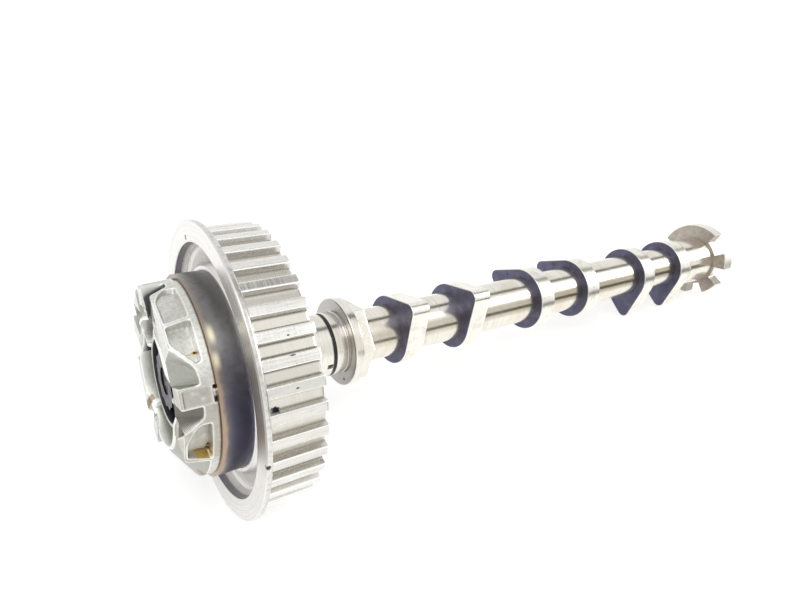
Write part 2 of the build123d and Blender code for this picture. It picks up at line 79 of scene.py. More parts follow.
class Slot(Enum):
    """The record's material slot names; no piece in this script takes them."""

    WHEEL = "sintered_steel"
    CASTING = "cast_aluminium"
    GROUND = "ground_steel"
    CAM = "black_oxide_cam"
    PLAIN = "plain_steel"
    TRIGGER = "trigger_steel"


class Floor(Enum):
    """The kinds of floor that the cover's pockets have."""

    SCOOP = auto()
    WIDE = auto()
    SHELF = auto()
    PANEL = auto()
    NICK = auto()


def linear(code: str) -> tuple[float, float, float, float]:
    """Turn an sRGB hex colour with a hash into the linear colour that shaders take, alpha 1."""
    parts = [int(code[k:k + 2], 16) / 255.0 for k in (1, 3, 5)]
    red, green, blue = (p / 12.92 if p <= 0.04045 else ((p + 0.055) / 1.055) ** 2.4 for p in parts)
    return red, green, blue, 1.0


def add_node(tree: Tree, kind: str, settings: Mapping[str, Any] | None = None,
             links: Mapping[Any, Any] | None = None) -> bpy.types.Node:
    """Add one node with its settings, values and incoming links.

    Args:
        tree: The tree that gets the node.
        kind: The node's type name.
        settings: Attributes of the node by name.
        links: Inputs by name or number, each a value or the socket that feeds it.

    Returns:
        The new node.
    """
    node = tree.nodes.new(kind)
    for name, value in (settings or {}).items():
        setattr(node, name, value)
    for key, value in (links or {}).items():
        if isinstance(value, Socket):
            tree.links.new(value, node.inputs[key])
        else:
            node.inputs[key].default_value = value
    return node


def fresh_tree(owner: bpy.types.ID) -> Tree:
    """Switch on the nodes of a material or world, and empty its tree."""
    owner.use_nodes = True
    owner.node_tree.nodes.clear()
    return owner.node_tree


def new_object(name: str, data: bpy.types.ID) -> bpy.types.Object:
    """Make an object from its data and link it to the scene."""
    made = bpy.data.objects.new(name, data)
    bpy.context.scene.collection.objects.link(made)
    return made


@dataclass
class ShaftCoordinates:
    """Station, radius and angle of a surface point from its Object coordinates, and masks made of them.

    The angle goes from 0 to 360 degrees about +X, with 0 at +Y and 90 at +Z. grain is the point in
    millimetres, and turned is (station, radius, a quarter of the angle in radians).
    """

    tree: Tree
    station: Socket = field(init=False)
    radius: Socket = field(init=False)
    angle: Socket = field(init=False)
    grain: Socket = field(init=False)
    turned: Socket = field(init=False)

    def __post_init__(self) -> None:
        """Build the coordinate nodes in the tree."""
        place = add_node(self.tree, "ShaderNodeTexCoord").outputs["Object"]
        split = add_node(self.tree, "ShaderNodeSeparateXYZ", links={0: place}).outputs
        self.station = self.maths("MULTIPLY_ADD", split["X"], MM_PER_METRE, ORIGIN_STATION)
        across = self.vector(0.0, split["Y"], split["Z"])
        self.radius = self.maths("MULTIPLY", self.length(across), MM_PER_METRE)
        turn = self.maths("ARCTAN2", split["Z"], split["Y"])
        degrees = self.maths("MULTIPLY_ADD", turn, 180.0 / math.pi, 360.0)
        self.angle = self.maths("MODULO", degrees, 360.0)
        self.grain = self.vectors("SCALE", {0: place, "Scale": MM_PER_METRE})
        self.turned = self.vector(self.station, self.radius, self.maths("MULTIPLY", turn, 0.25))

    def maths(self, operation: str, *values: Any) -> Socket:
        """One maths node over numbers or sockets."""
        links = dict(enumerate(values))
        return add_node(self.tree, "ShaderNodeMath", {"operation": operation}, links).outputs[0]

    def vector(self, *parts: Any) -> Socket:
        """A vector of up to three numbers or sockets."""
        return add_node(self.tree, "ShaderNodeCombineXYZ", links=dict(enumerate(parts))).outputs[0]

    def vectors(self, operation: str, links: Mapping[Any, Any], output: str = "Vector") -> Socket:
        """One vector maths node."""
        return add_node(self.tree, "ShaderNodeVectorMath", {"operation": operation}, links).outputs[output]

    def length(self, vector: Socket) -> Socket:
        """The length of a vector."""
        return self.vectors("LENGTH", {0: vector}, "Value")

    def attribute(self, name: str) -> Socket:
        """A value that the mesh keeps per point."""
        return add_node(self.tree, "ShaderNodeAttribute", {"attribute_name": name}).outputs["Fac"]

    def noise(self, vector: Socket, size: float, detail: float, roughness: float) -> Socket:
        """Noise that varies about every size units of the vector."""
        return add_node(self.tree, "ShaderNodeTexNoise", links={
            "Vector": vector, "Scale": 1.0 / size, "Detail": detail, "Roughness": roughness}).outputs[0]

    def lines(self, pitch: float) -> Socket:
        """Turning lines round the shaft, a pitch apart."""
        return self.noise(self.turned, pitch, 2.0, 0.6)

    def streaks(self, pitch: float) -> Socket:
        """Fine streaks along the shaft, a pitch apart."""
        return self.noise(self.vectors("MULTIPLY", {0: self.grain, 1: (0.06, 1.0, 1.0)}), pitch, 3.0, 0.6)

    def cloud(self, size: float, detail: float = 3.0) -> Socket:
        """Soft blotches about size millimetres across."""
        return self.noise(self.grain, size, detail, 0.55)

    def ramp(self, value: Socket, low: float, high: float, start: float = 0.0, end: float = 1.0) -> Socket:
        """A smooth step from start to end while the value goes from low to high."""
        return add_node(self.tree, "ShaderNodeMapRange", {"interpolation_type": "SMOOTHSTEP"}, {
            "Value": value, "From Min": low, "From Max": high, "To Min": start, "To Max": end}).outputs[0]

    def patches(self, size: float, low: float, high: float, share: float = 1.0,
                detail: float = 3.0) -> Socket:
        """A mask of blotches that rises to its share while their noise goes from low to high."""
        return self.ramp(self.cloud(size, detail), low, high, 0.0, share)

    def both(self, mask: Any, *others: Any) -> Socket:
        """The product of masks, which is 1 only where all of them are."""
        for other in others:
            mask = self.maths("MULTIPLY", mask, other)
        return mask

    def band(self, value: Socket, low: float, high: float, soft: float) -> Socket:
        """A mask that is 1 between low and high and fades over soft on each side."""
        return self.both(self.ramp(value, low - soft, low), self.ramp(value, high, high + soft, 1.0, 0.0))

    def spot(self, station: float, angle: float, along: float, across: float, ragged: float) -> Socket:
        """A ragged spot on the surface.

        The mask is 1 minus the length of (station offset / along, angle offset / across), with noise
        added, and clipped to the range 0 to 1.

        Args:
            station: The spot's middle along the shaft.
            angle: The spot's middle round the shaft.
            along: Half its length in millimetres.
            across: Half its width in degrees.
            ragged: How far the noise moves its edge.

        Returns:
            The mask's socket.
        """
        far = self.length(self.vector(
            self.maths("MULTIPLY_ADD", self.station, 1.0 / along, -station / along),
            self.maths("MULTIPLY_ADD", self.angle, 1.0 / across, -angle / across)))
        edge = self.maths("MULTIPLY_ADD", self.cloud(max(0.6, along * 0.6)), ragged * 2.0, 1.0 - ragged)
        return self.ramp(self.maths("SUBTRACT", edge, far), 0.0, 0.45)

    def tint(self, base: Any, shade: str, mask: Any, mode: str = "MIX") -> Socket:
        """Lay a hex colour over the base, a hex colour or socket, where the mask is 1."""
        below = linear(base) if isinstance(base, str) else base
        return add_node(self.tree, "ShaderNodeMix", {"data_type": "RGBA", "blend_type": mode},
                        {0: mask, 6: below, 7: linear(shade)}).outputs[2]

    def films(self, colour: Any, *rows: tuple[str, Socket, float]) -> Any:
        """Lay films over the colour in turn, each with its hex colour, its mask and its share there."""
        for shade, mask, share in rows:
            colour = self.tint(colour, shade, self.ramp(mask, 0.0, 1.0, 0.0, share))
        return colour

    def mark(self, colour: Any, shade: str, spot: tuple[float, ...], *limits: Socket) -> Socket:
        """Tint one ragged spot, given as spot takes it, where the limits are 1."""
        return self.tint(colour, shade, self.both(self.spot(*spot), *limits))


@dataclass(frozen=True)
class Finish:
    """A surface with a name, a colour and a gloss. Its subclasses paint patterns of their own.

    On its own it is plain machined metal or plastic: slightly blotchy, so that it doesn't look new.
    """

    name: str
    colour: str
    roughness: float
    metallic: float = 1.0
    bump: float = 0.02  # height of the relief

    def material(self) -> Material:
        """Build the finish's node material."""
        made = bpy.data.materials.new(self.name)
        tree = fresh_tree(made)
        colour, rough, height = self.paint(ShaftCoordinates(tree))
        relief = add_node(tree, "ShaderNodeBump", links={
            "Strength": 1.0, "Distance": self.bump * MM, "Height": height})
        shader = add_node(tree, "ShaderNodeBsdfPrincipled", links={
            "Base Color": colour, "Roughness": rough, "Metallic": self.metallic,
            "Normal": relief.outputs[0]})
        add_node(tree, "ShaderNodeOutputMaterial", links={"Surface": shader.outputs[0]})
        return made

    def gloss(self, place: ShaftCoordinates, pattern: Socket, high: float = 0.7, less: float = 0.85,
              more: float = 1.2) -> Socket:
        """Roughness that goes from less to more of the finish's own, as the pattern nears high."""
        return place.ramp(pattern, 0.3, high, self.roughness * less, self.roughness * more)

    def paint(self, place: ShaftCoordinates) -> Painted:
        """Slight blotches 6 mm across and a fine grain of 0.5 mm."""
        blotch = place.patches(6.0, 0.35, 0.7, 0.35)
        colour = place.tint(self.colour, "#5A5650", blotch, "MULTIPLY")
        return colour, self.gloss(place, place.cloud(3.0)), place.cloud(0.5)


@dataclass(frozen=True)
class GroundSteel(Finish):
    """Steel ground between centres: the eye sees fine lines round the shaft and a warm, bright polish."""

    line_pitch: float = 0.45  # the real 0.02 mm lines wouldn't show
    warm: float = 0.35

    def paint(self, place: ShaftCoordinates) -> Painted:
        """Grinding lines under a warm film in patches of 14 mm."""
        lines = place.lines(self.line_pitch)
        colour = place.tint(self.colour, "#A79F90", place.ramp(lines, 0.35, 0.75, 0.0, 0.25))
        film = place.patches(14.0, 0.42, 0.68, self.warm)
        colour = place.tint(colour, "#CDBFA4", film)
        return colour, self.gloss(place, lines, 0.75, more=1.25), lines


@dataclass(frozen=True)
class TubeSteel(GroundSteel):
    """Drawn and polished tube: mirror-like, with painted reflections: brown from the cams beside each cam,
    and olive from a darker ground on the near side.
    """

    cam_ends: Sequence[float] = ()  # stations of the cams' faces

    def paint(self, place: ShaftCoordinates) -> Painted:
        """The ground finish, with a painted brown reflection that fades within 6 mm of each cam and a
        painted olive reflection on the near side.
        """
        colour, rough, lines = super().paint(place)
        # painted reflection of the cams' sides: brown that fades within 6 mm of each cam
        near: Any = 0.0
        for end in self.cam_ends:
            gap = place.maths("ABSOLUTE", place.maths("SUBTRACT", place.station, end))
            near = place.maths("MAXIMUM", near, place.ramp(gap, 0.3, 6.0, 0.4, 0.0))
        near = place.both(near, place.patches(4.0, 0.3, 0.65))
        # painted reflection of a darker ground: olive over 154 to 174 degrees, stronger towards the rear
        film = place.both(place.band(place.angle, 154.0, 174.0, 12.0),
                          place.ramp(place.station, 60.0, 220.0, 0.35, 0.75))
        return place.tint(place.tint(colour, "#8A6A5C", near), "#A39A7F", film), rough, lines


@dataclass(frozen=True)
class JournalSteel(GroundSteel):
    """Ground journal with a turned collar: bright bearing faces beside a flat ring, painted grey as a
    reflection.
    """

    collar_front: float = 55.8

    def paint(self, place: ShaftCoordinates) -> Painted:
        """The ground finish, with a painted grey reflection on the collar's turned face and a dark dot of
        corrosion on it.
        """
        colour, rough, lines = super().paint(place)
        front = self.collar_front
        # painted reflection: the collar's turned front face greyer
        face = place.both(place.band(place.station, front - 0.3, front + 0.12, 0.1),
                          place.band(place.radius, 14.0, 19.3, 0.25))
        colour = place.films(colour, ("#A6A3A2", face, 0.85))
        colour = place.mark(colour, "#3A332C", (front, 232.0, 0.8, 3.5, 0.2),
                            place.band(place.radius, 16.5, 17.3, 0.3))
        return colour, rough, lines


@dataclass(frozen=True)
class CamSteel(Finish):
    """Hardened cam, blackened and then ground: satin blue-black sides, a bright running face."""

    side: str = "#5B5B6E"
    side_roughness: float = 0.42

    def paint(self, place: ShaftCoordinates) -> Painted:
        """Blue-black where the attribute side is 1, ground elsewhere, and a dark dot on two cams."""
        side, lines = place.attribute("side"), place.lines(0.5)
        running = place.tint(self.colour, "#C4BCAB", place.ramp(lines, 0.4, 0.8, 0.0, 0.4))
        running = place.tint(running, "#B9AFA2", place.patches(5.0, 0.45, 0.7, 0.3))
        dark = place.tint(self.side, "#77748A", place.patches(5.0, 0.4, 0.7, 0.5))
        dark = place.tint(dark, "#8C8078", place.patches(1.6, 0.62, 0.8, 0.35))
        for station, angle in ((167.8, 35.0), (202.8, 38.0)):
            dark = place.mark(dark, "#26242C", (station, angle, 0.6, 1.9, 0.2),
                              place.band(place.radius, 15.7, 16.3, 0.2))
        mix = add_node(place.tree, "ShaderNodeMix", {"data_type": "RGBA"}, {0: side, 6: running, 7: dark})
        return mix.outputs[2], place.ramp(side, 0.0, 1.0, self.roughness, self.side_roughness), lines


@dataclass(frozen=True)
class WheelSteel(Finish):
    """Sintered and turned steel: light grey, with worn ivory tooth tops between duller grooves."""

    root: float = 53.9  # radii of the teeth
    tip: float = 56.9

    def paint(self, place: ShaftCoordinates) -> Painted:
        """Radius sets the shade of teeth, turned lines cover the faces, and small nicks sit on the rims."""
        station, radius, angle = place.station, place.radius, place.angle
        lines = place.lines(0.55)
        toothed = place.band(station, 3.4, 24.4, 0.1)
        top = place.both(place.ramp(radius, self.tip - 0.5, self.tip - 0.15), toothed)
        worn = place.both(top, place.ramp(place.streaks(0.45), 0.42, 0.66))
        # a greyer film over the teeth between 160 and 190 degrees round the shaft
        oily = place.both(toothed, place.band(angle, 160.0, 190.0, 12.0))
        groove = place.both(place.ramp(radius, self.root - 0.2, self.root + 1.4, 1.0, 0.0),
                            place.ramp(radius, self.root - 0.8, self.root - 0.4), toothed)
        # painted reflection: the flange's front face darker round 148 to 166 degrees
        face = place.both(place.ramp(station, 0.3, 0.6, 1.0, 0.0), place.band(angle, 148.0, 166.0, 30.0),
                          place.ramp(radius, 50.9, 51.4))
        # painted reflection: the recess wall darker all round
        wall = place.both(place.band(radius, 51.0, 51.8, 0.3), place.band(station, 0.6, 5.2, 0.5))
        rim = place.both(place.band(radius, 57.2, 60.5, 0.3), place.ramp(station, 0.2, 0.8),
                         place.ramp(place.cloud(1.6, 4.0), 0.4, 0.7, 0.1, 0.45))
        colour = place.tint(self.colour, "#C3C0BB", place.ramp(lines, 0.38, 0.72, 0.0, 0.4))
        colour = place.films(colour, ("#E9E8E3", top, 0.9), ("#C0BDB8", worn, 0.35),
                             ("#B4B2A8", oily, 0.3), ("#D8D3C8", groove, 0.8),
                             ("#5A5752", place.attribute("root_line"), 0.7), ("#8F8C87", face, 0.8),
                             ("#FFFFFC", place.attribute("corner"), 0.9))
        rust = place.patches(2.2, 0.6, 0.78, 0.3, 4.0)
        colour = place.films(place.tint(colour, "#A39584", rust), ("#85838A", wall, 0.9))
        colour = place.tint(colour, "#8D8A86", rim)
        for spot in ((6.2, 164.3, 1.7, 1.0, 0.6), (14.1, 139.9, 0.7, 0.35, 0.6),
                     (14.1, 146.8, 1.3, 0.3, 0.6), (13.8, 158.0, 0.7, 0.3, 0.6)):
            colour = place.mark(colour, "#232132", spot)
        for shade, spot, low, high in (("#4A443E", (0.6, 182.0, 1.2, 1.0, 0.3), 58.8, 60.5),
                                       ("#55504A", (0.0, 64.5, 1.0, 1.3, 0.2), 52.6, 54.2)):
            colour = place.mark(colour, shade, spot, place.band(radius, low, high, 0.3))
        return colour, self.gloss(place, lines, 0.75), lines


@dataclass(frozen=True)
class SteamOxide(Finish):
    """Steam-treated sintered steel: blue-black, with straw and tan heat colours along its front edge."""

    front: float = -7.8  # station of the edge

    def paint(self, place: ShaftCoordinates) -> Painted:
        """The tint follows the station behind the front edge, and two gold glints sit on the near side."""
        wave = place.maths("MULTIPLY_ADD", place.cloud(7.0), 3.6, -1.8)
        depth = place.maths("ADD", place.station, wave)
        # painted shade: darker and bluer over the underside, from 172 to 310 degrees
        colour: Any = place.tint("#8B8A8A", "#636173", place.band(place.angle, 172.0, 310.0, 44.0))
        colour = place.tint(colour, "#55535D", place.patches(5.0, 0.45, 0.7, 0.3, 4.0))
        near = place.ramp(place.angle, 105.0, 160.0, 0.35, 1.0)
        for shade, reach, share in (("#8E857F", 4.4, 0.7), ("#B7A28F", 2.0, 1.0)):
            straw = place.ramp(depth, self.front + 0.4, self.front + reach, share, 0.0)
            colour = place.tint(colour, shade, place.both(straw, near))
        for station, angle, width in ((-6.0, 128.0, 8.5), (-6.4, 141.5, 7.0)):
            glint = place.both(place.band(place.station, station - 0.1, station + 0.1, 2.2),
                               place.band(place.angle, angle - 0.5, angle + 0.5, width))
            colour = place.tint(colour, "#E9E3C6", place.ramp(glint, 0.0, 1.6, 0.0, 1.3))
        return colour, self.gloss(place, place.cloud(2.0), less=0.9), place.cloud(0.6)


@dataclass(frozen=True)
class DieCastAluminium(Finish):
    """Die-cast aluminium: pale and matt, with painted highlights on its edges, painted olive shade in the
    pockets and oil in some.
    """

    def paint(self, place: ShaftCoordinates) -> Painted:
        """The attributes edge and pit lay painted highlights on rims and painted shade in pockets; oil and
        rust lie in some.
        """
        station, radius, angle = place.station, place.radius, place.angle
        edge, pit = place.attribute("edge"), place.attribute("pit")
        # painted shade: blotchy darkening over the side at 158 to 192 degrees
        near_side_shade = place.both(place.band(angle, 158.0, 192.0, 16.0), place.patches(5.0, 0.2, 0.55))
        # painted shade in the deep pockets between 163 and 198 degrees
        deep_pocket_shade = place.both(place.band(angle, 163.0, 198.0, 4.0), place.ramp(pit, 0.5, 0.9))
        # painted shade in the pocket beside the raised pad, 79 to 96 degrees
        box = place.both(place.band(angle, 79.0, 96.0, 2.0), place.ramp(pit, 0.6, 1.0),
                         place.ramp(radius, 24.9, 25.4))
        recess = place.both(place.band(radius, 19.0, 24.5, 0.2), place.band(angle, 0.0, 22.0, 5.0),
                            place.ramp(station, -20.0, -19.0))
        colour = place.tint(self.colour, "#B9B9B1", place.patches(1.1, 0.38, 0.68, 0.5))
        # painted olive shade in the pockets where pit rises
        colour = place.films(colour, ("#A39E90", near_side_shade, 0.62), ("#94958A", pit, 0.72),
                             ("#6B675E", deep_pocket_shade, 0.85), ("#4A494D", box, 0.85), ("#2F2D3B", recess, 0.9))
        # painted shade: near black deep in the well and the bore, where pit passes 1
        colour = place.tint(colour, "#2B2933", place.ramp(pit, 1.0, 2.0, 0.0, 0.96))
        # painted highlight along rims and pocket edges
        colour = place.films(colour, ("#FFFFFC", edge, 0.7))
        for spot in ((-12.0, 133.9, 1.0, 1.3, 0.4), (-14.0, 134.6, 2.4, 0.35, 0.4)):
            colour = place.mark(colour, "#D2B04A", spot, place.ramp(radius, 26.0, 27.0, 0.0, 0.8))
        for spot in ((-19.3, 313.0, 1.5, 4.0, 0.6), (-12.6, 194.0, 1.3, 1.0, 0.6),
                     (-14.1, 193.2, 1.4, 1.0, 0.6), (-15.6, 192.4, 1.3, 0.9, 0.6),
                     (-12.4, 222.0, 1.6, 5.0, 0.6)):
            rust = place.both(place.spot(*spot), place.ramp(radius, 24.0, 24.3))
            colour = place.films(colour, ("#937A5C", rust, 0.8))
        for middle in ((-11.7, 133.9), (-11.6, 191.0), (-12.2, 193.2), (-11.4, 194.6)):
            colour = place.mark(colour, "#5B3A17", (*middle, 0.7, 1.1, 0.4))
        slant = place.maths("MULTIPLY_ADD", station, -0.575, angle)
        reach = place.both(place.band(station, -15.6, -12.4, 1.8), place.ramp(radius, 27.0, 28.0))
        for low, high, shade in ((201.6, 202.8, "#A08A62"), (203.2, 204.0, "#D6B44C")):
            streak = place.both(place.band(slant, low, high, 0.35), reach)
            colour = place.films(colour, (shade, streak, 0.8))
        colour = place.mark(colour, "#6A4A38", (-8.4, 157.0, 0.9, 4.6, 0.2))
        return colour, self.gloss(place, place.cloud(2.4), more=1.15), place.cloud(0.8)


@dataclass(frozen=True)
class BlackBolt(Finish):
    """Black-oxide bolt steel: nearly black and oily, rubbed bright on the head's corners."""

    corner: float = 12.0  # radius of the head's corners

    def paint(self, place: ShaftCoordinates) -> Painted:
        """Black, with the corners bright in patches where the radius passes the corner size."""
        worn = place.both(place.ramp(place.radius, self.corner - 0.2, self.corner + 0.4),
                          place.patches(1.2, 0.4, 0.55))
        colour = place.tint(self.colour, "#E6E3DD", worn)
        return colour, self.gloss(place, place.cloud(2.0)), place.cloud(0.8)


@dataclass(frozen=True)
class TriggerSteel(Finish):
    """Pressed and turned position wheel: brown-grey satin faces between bright cut edges."""

    rim: float = 22.6  # radius where the tips' bright edge begins

    def paint(self, place: ShaftCoordinates) -> Painted:
        """Bright at the teeth's tips and roots, brown-grey with blotches elsewhere."""
        lines = place.lines(0.6)
        colour = place.tint(self.colour, "#8F877E", place.patches(3.0, 0.4, 0.7, 0.5))
        tips = place.ramp(place.radius, self.rim - 0.2, self.rim + 0.2)
        roots = place.both(place.band(place.radius, 15.7, 16.15, 0.1),
                           place.band(place.station, 323.5, 330.2, 0.1))
        colour = place.tint(place.tint(colour, "#ECE9E2", tips), "#F0EEE8", roots)
        return colour, self.gloss(place, lines, 0.75), lines


def unit(value: Any) -> Array:
    """Clip to the range 0 to 1."""
    return np.clip(value, 0.0, 1.0)


def eased(value: Array) -> Array:
    """The smooth step t t (3 - 2 t) of the value clipped to 0 to 1."""
    share = unit(value)
    return share * share * (3 - 2 * share)


def bell(value: Array, middle: float, width: float) -> Array:
    """The bell curve exp(-((value - middle) / width)^2)."""
    return np.exp(-((value - middle) / width) ** 2)


def wrapped(angle: Array) -> Array:
    """The same angle between -180 and 180 degrees."""
    return (angle + 180.0) % 360.0 - 180.0


def rounded(corners: Any, steps: int = 4) -> Array:
    """Round the corners of a closed polyline.

    Each corner B is replaced by the curve (1-t)^2 A + 2t(1-t) B + t^2 C, with A and C the fillet size
    away from it on its two legs. A point a little outside A and C each keeps the flats' shading even.

    Args:
        corners: Rows of (station, radius, fillet); the last row joins the first.
        steps: Segments per fillet.

    Returns:
        Rows of (station, radius), steps + 3 for each corner.
    """
    place, size = np.asarray(corners)[:, :2], np.asarray(corners)[:, 2]
    share = np.linspace(0.0, 1.0, steps + 1)[None, :, None]
    legs = [np.roll(place, 1, 0) - place, np.roll(place, -1, 0) - place]
    lengths = [np.linalg.norm(leg, axis=1) for leg in legs]
    cut = np.minimum(size, 0.45 * np.minimum(*lengths))
    ways = [leg / length[:, None] for leg, length in zip(legs, lengths)]
    start, end = (place + way * cut[:, None] for way in ways)
    curve = ((1 - share) ** 2 * start[:, None] + 2 * share * (1 - share) * place[:, None]
             + share ** 2 * end[:, None])
    guards = [place + way * np.minimum(cut + 0.25, 0.48 * length)[:, None]
              for way, length in zip(ways, lengths)]
    return np.concatenate([guards[0][:, None], curve, guards[1][:, None]], 1).reshape(-1, 2)


def mirrored(half: Any, width: float) -> Array:
    """Rows of (along, inward) at a front edge, the middle of the width, and the rows at the rear edge."""
    rows = np.array(half)
    return np.vstack([rows, [(width / 2, 0.0)], rows[::-1] * (-1, 1) + (width, 0)])


def turned_grid(station: Array, radius: Array, angles: Array) -> Array:
    """Turn rows about the shaft axis: y = radius cos(angle), z = radius sin(angle), a column an angle."""
    turn = np.radians(angles)
    return np.stack(np.broadcast_arrays(station, radius * np.cos(turn), radius * np.sin(turn)), -1)


def surface_piece(name: str, grid: Array, body: Body, finish: Material,
                  nodes: Sequence[str], sharp: float = 35.0,
                  attributes: Mapping[str, Array] | None = None) -> None:
    """Make a closed piece from a grid of points that joins up both ways.

    Face (i, j) has the corners (i, j), (i, j+1), (i+1, j+1) and (i+1, j), with both numbers taken
    round the grid. The faces are turned over when the volume that they enclose comes out negative.

    Args:
        name: The piece's name.
        grid: Points in millimetres, stations along x, of shape (rows, columns, 3).
        body: The body that the piece rides on.
        finish: Its material.
        nodes: The CAD nodes that it stands for.
        sharp: Edges that turn more than this many degrees stay sharp.
        attributes: Values per grid point, by name.
    """
    rows, columns = grid.shape[:2]
    points = (grid.reshape(-1, 3) - (ORIGIN_STATION, 0.0, 0.0)) * MM
    i, j = np.meshgrid(np.arange(rows), np.arange(columns), indexing="ij")
    down, right = (i + 1) % rows, (j + 1) % columns
    faces = np.stack([i * columns + j, i * columns + right, down * columns + right,
                      down * columns + j], -1).reshape(-1, 4)
    a, b, c, d = (points[faces[:, k]] for k in range(4))
    if np.einsum("ij,ij->", a, np.cross(b, c)) + np.einsum("ij,ij->", a, np.cross(c, d)) < 0:
        faces = faces[:, ::-1]
    mesh = bpy.data.meshes.new(name)
    mesh.vertices.add(len(points))
    mesh.vertices.foreach_set("co", points.astype(np.float32).ravel())
    mesh.loops.add(faces.size)
    mesh.loops.foreach_set("vertex_index", faces.astype(np.int32).ravel())
    mesh.polygons.add(len(faces))
    mesh.polygons.foreach_set("loop_start", np.arange(0, faces.size, 4, dtype=np.int32))
    mesh.update(calc_edges=True)
    mesh.validate()
    mesh.shade_smooth()
    mesh.set_sharp_from_angle(angle=math.radians(sharp))
    for label, values in (attributes or {}).items():
        layer = mesh.attributes.new(label, "FLOAT", "POINT")
        layer.data.foreach_set("value", values.astype(np.float32).ravel())
    mesh.materials.append(finish)
    made = new_object(name, mesh)
    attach(made, body.value)
    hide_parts(*nodes)
    LOG.info("%s: %d faces, stands for %s", name, len(faces), ", ".join(nodes))


@dataclass
class CadDress:
    """Dresses the CAD nodes that stay: welded, smooth-shaded and finished."""

    finishes: Mapping[str, Material]
    smooth_angle: float = 32.0
    screw_tip: float = -10.6

    def group(self, name: str) -> tuple[Tree, Socket]:
        """Start a geometry node group and give it with its incoming geometry."""
        tree = bpy.data.node_groups.new(name, "GeometryNodeTree")
        for way in ("INPUT", "OUTPUT"):
            tree.interface.new_socket("Geometry", in_out=way, socket_type="NodeSocketGeometry")
        return tree, add_node(tree, "NodeGroupInput").outputs[0]

    def smooth(self) -> Tree:
        """Smooth faces, with sharp edges where they turn by more than the angle."""
        tree, start = self.group("smooth_by_angle")
        edge = add_node(tree, "GeometryNodeInputMeshEdgeAngle").outputs[0]
        turn = add_node(tree, "FunctionNodeCompare", {"data_type": "FLOAT", "operation": "GREATER_THAN"},
                        {0: edge, 1: math.radians(self.smooth_angle)})
        faces = add_node(tree, "GeometryNodeSetShadeSmooth", {"domain": "FACE"},
                         {"Geometry": start, "Shade Smooth": True})
        edges = add_node(tree, "GeometryNodeSetShadeSmooth", {"domain": "EDGE"}, {
            "Geometry": faces.outputs[0], "Selection": turn.outputs[0], "Shade Smooth": False})
        add_node(tree, "NodeGroupOutput", links={0: edges.outputs[0]})
        return tree

    def short_tips(self) -> Tree:
        """Draw the cover screws' tips back into the casting: x is the larger of x and the tip's place."""
        tree, start = self.group("short_tips")
        place = add_node(tree, "GeometryNodeInputPosition").outputs[0]
        limit = ((self.screw_tip - ORIGIN_STATION) * MM, -1.0, -1.0)
        held = add_node(tree, "ShaderNodeVectorMath", {"operation": "MAXIMUM"}, {0: place, 1: limit})
        moved = add_node(tree, "GeometryNodeSetPosition", links={
            "Geometry": start, "Position": held.outputs[0]})
        add_node(tree, "NodeGroupOutput", links={0: moved.outputs[0]})
        return tree

    def build(self) -> None:
        """Give every named node its modifiers and its material."""
        smooth = self.smooth()
        for node, finish in self.finishes.items():
            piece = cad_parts[node]
            piece.modifiers.new("weld", "WELD").merge_threshold = WELD
            piece.modifiers.new("smooth", "NODES").node_group = smooth
            for slot in piece.material_slots:
                slot.material = finish
            LOG.info("%s: CAD node dressed", node)
        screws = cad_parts["cover_screws"]
        screws.modifiers.new("short_tips", "NODES").node_group = self.short_tips()


@dataclass
class CoilSpring:
    """A return spring: a welded copy of its CAD node on the shaft's body."""

    node: str
    joint: str
    travel: float = 3.0

    def build(self, finish: Material) -> None:
        """Copy the node's mesh, join its loose triangles and hang the copy on the shaft's body."""
        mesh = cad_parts[self.node].data.copy()
        wire = bmesh.new()
        wire.from_mesh(mesh)
        bmesh.ops.remove_doubles(wire, verts=wire.verts, dist=WELD)
        wire.to_mesh(mesh)
        wire.free()
        mesh.shade_smooth()
        mesh.materials.clear()
        mesh.materials.append(finish)
        made = new_object(f"{self.node}_wire", mesh)
        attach(made, Body.SHAFT.value)
        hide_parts(self.node)
        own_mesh(made)
        LOG.info("%s: %d faces, shortens with %s", made.name, len(mesh.polygons), self.joint)


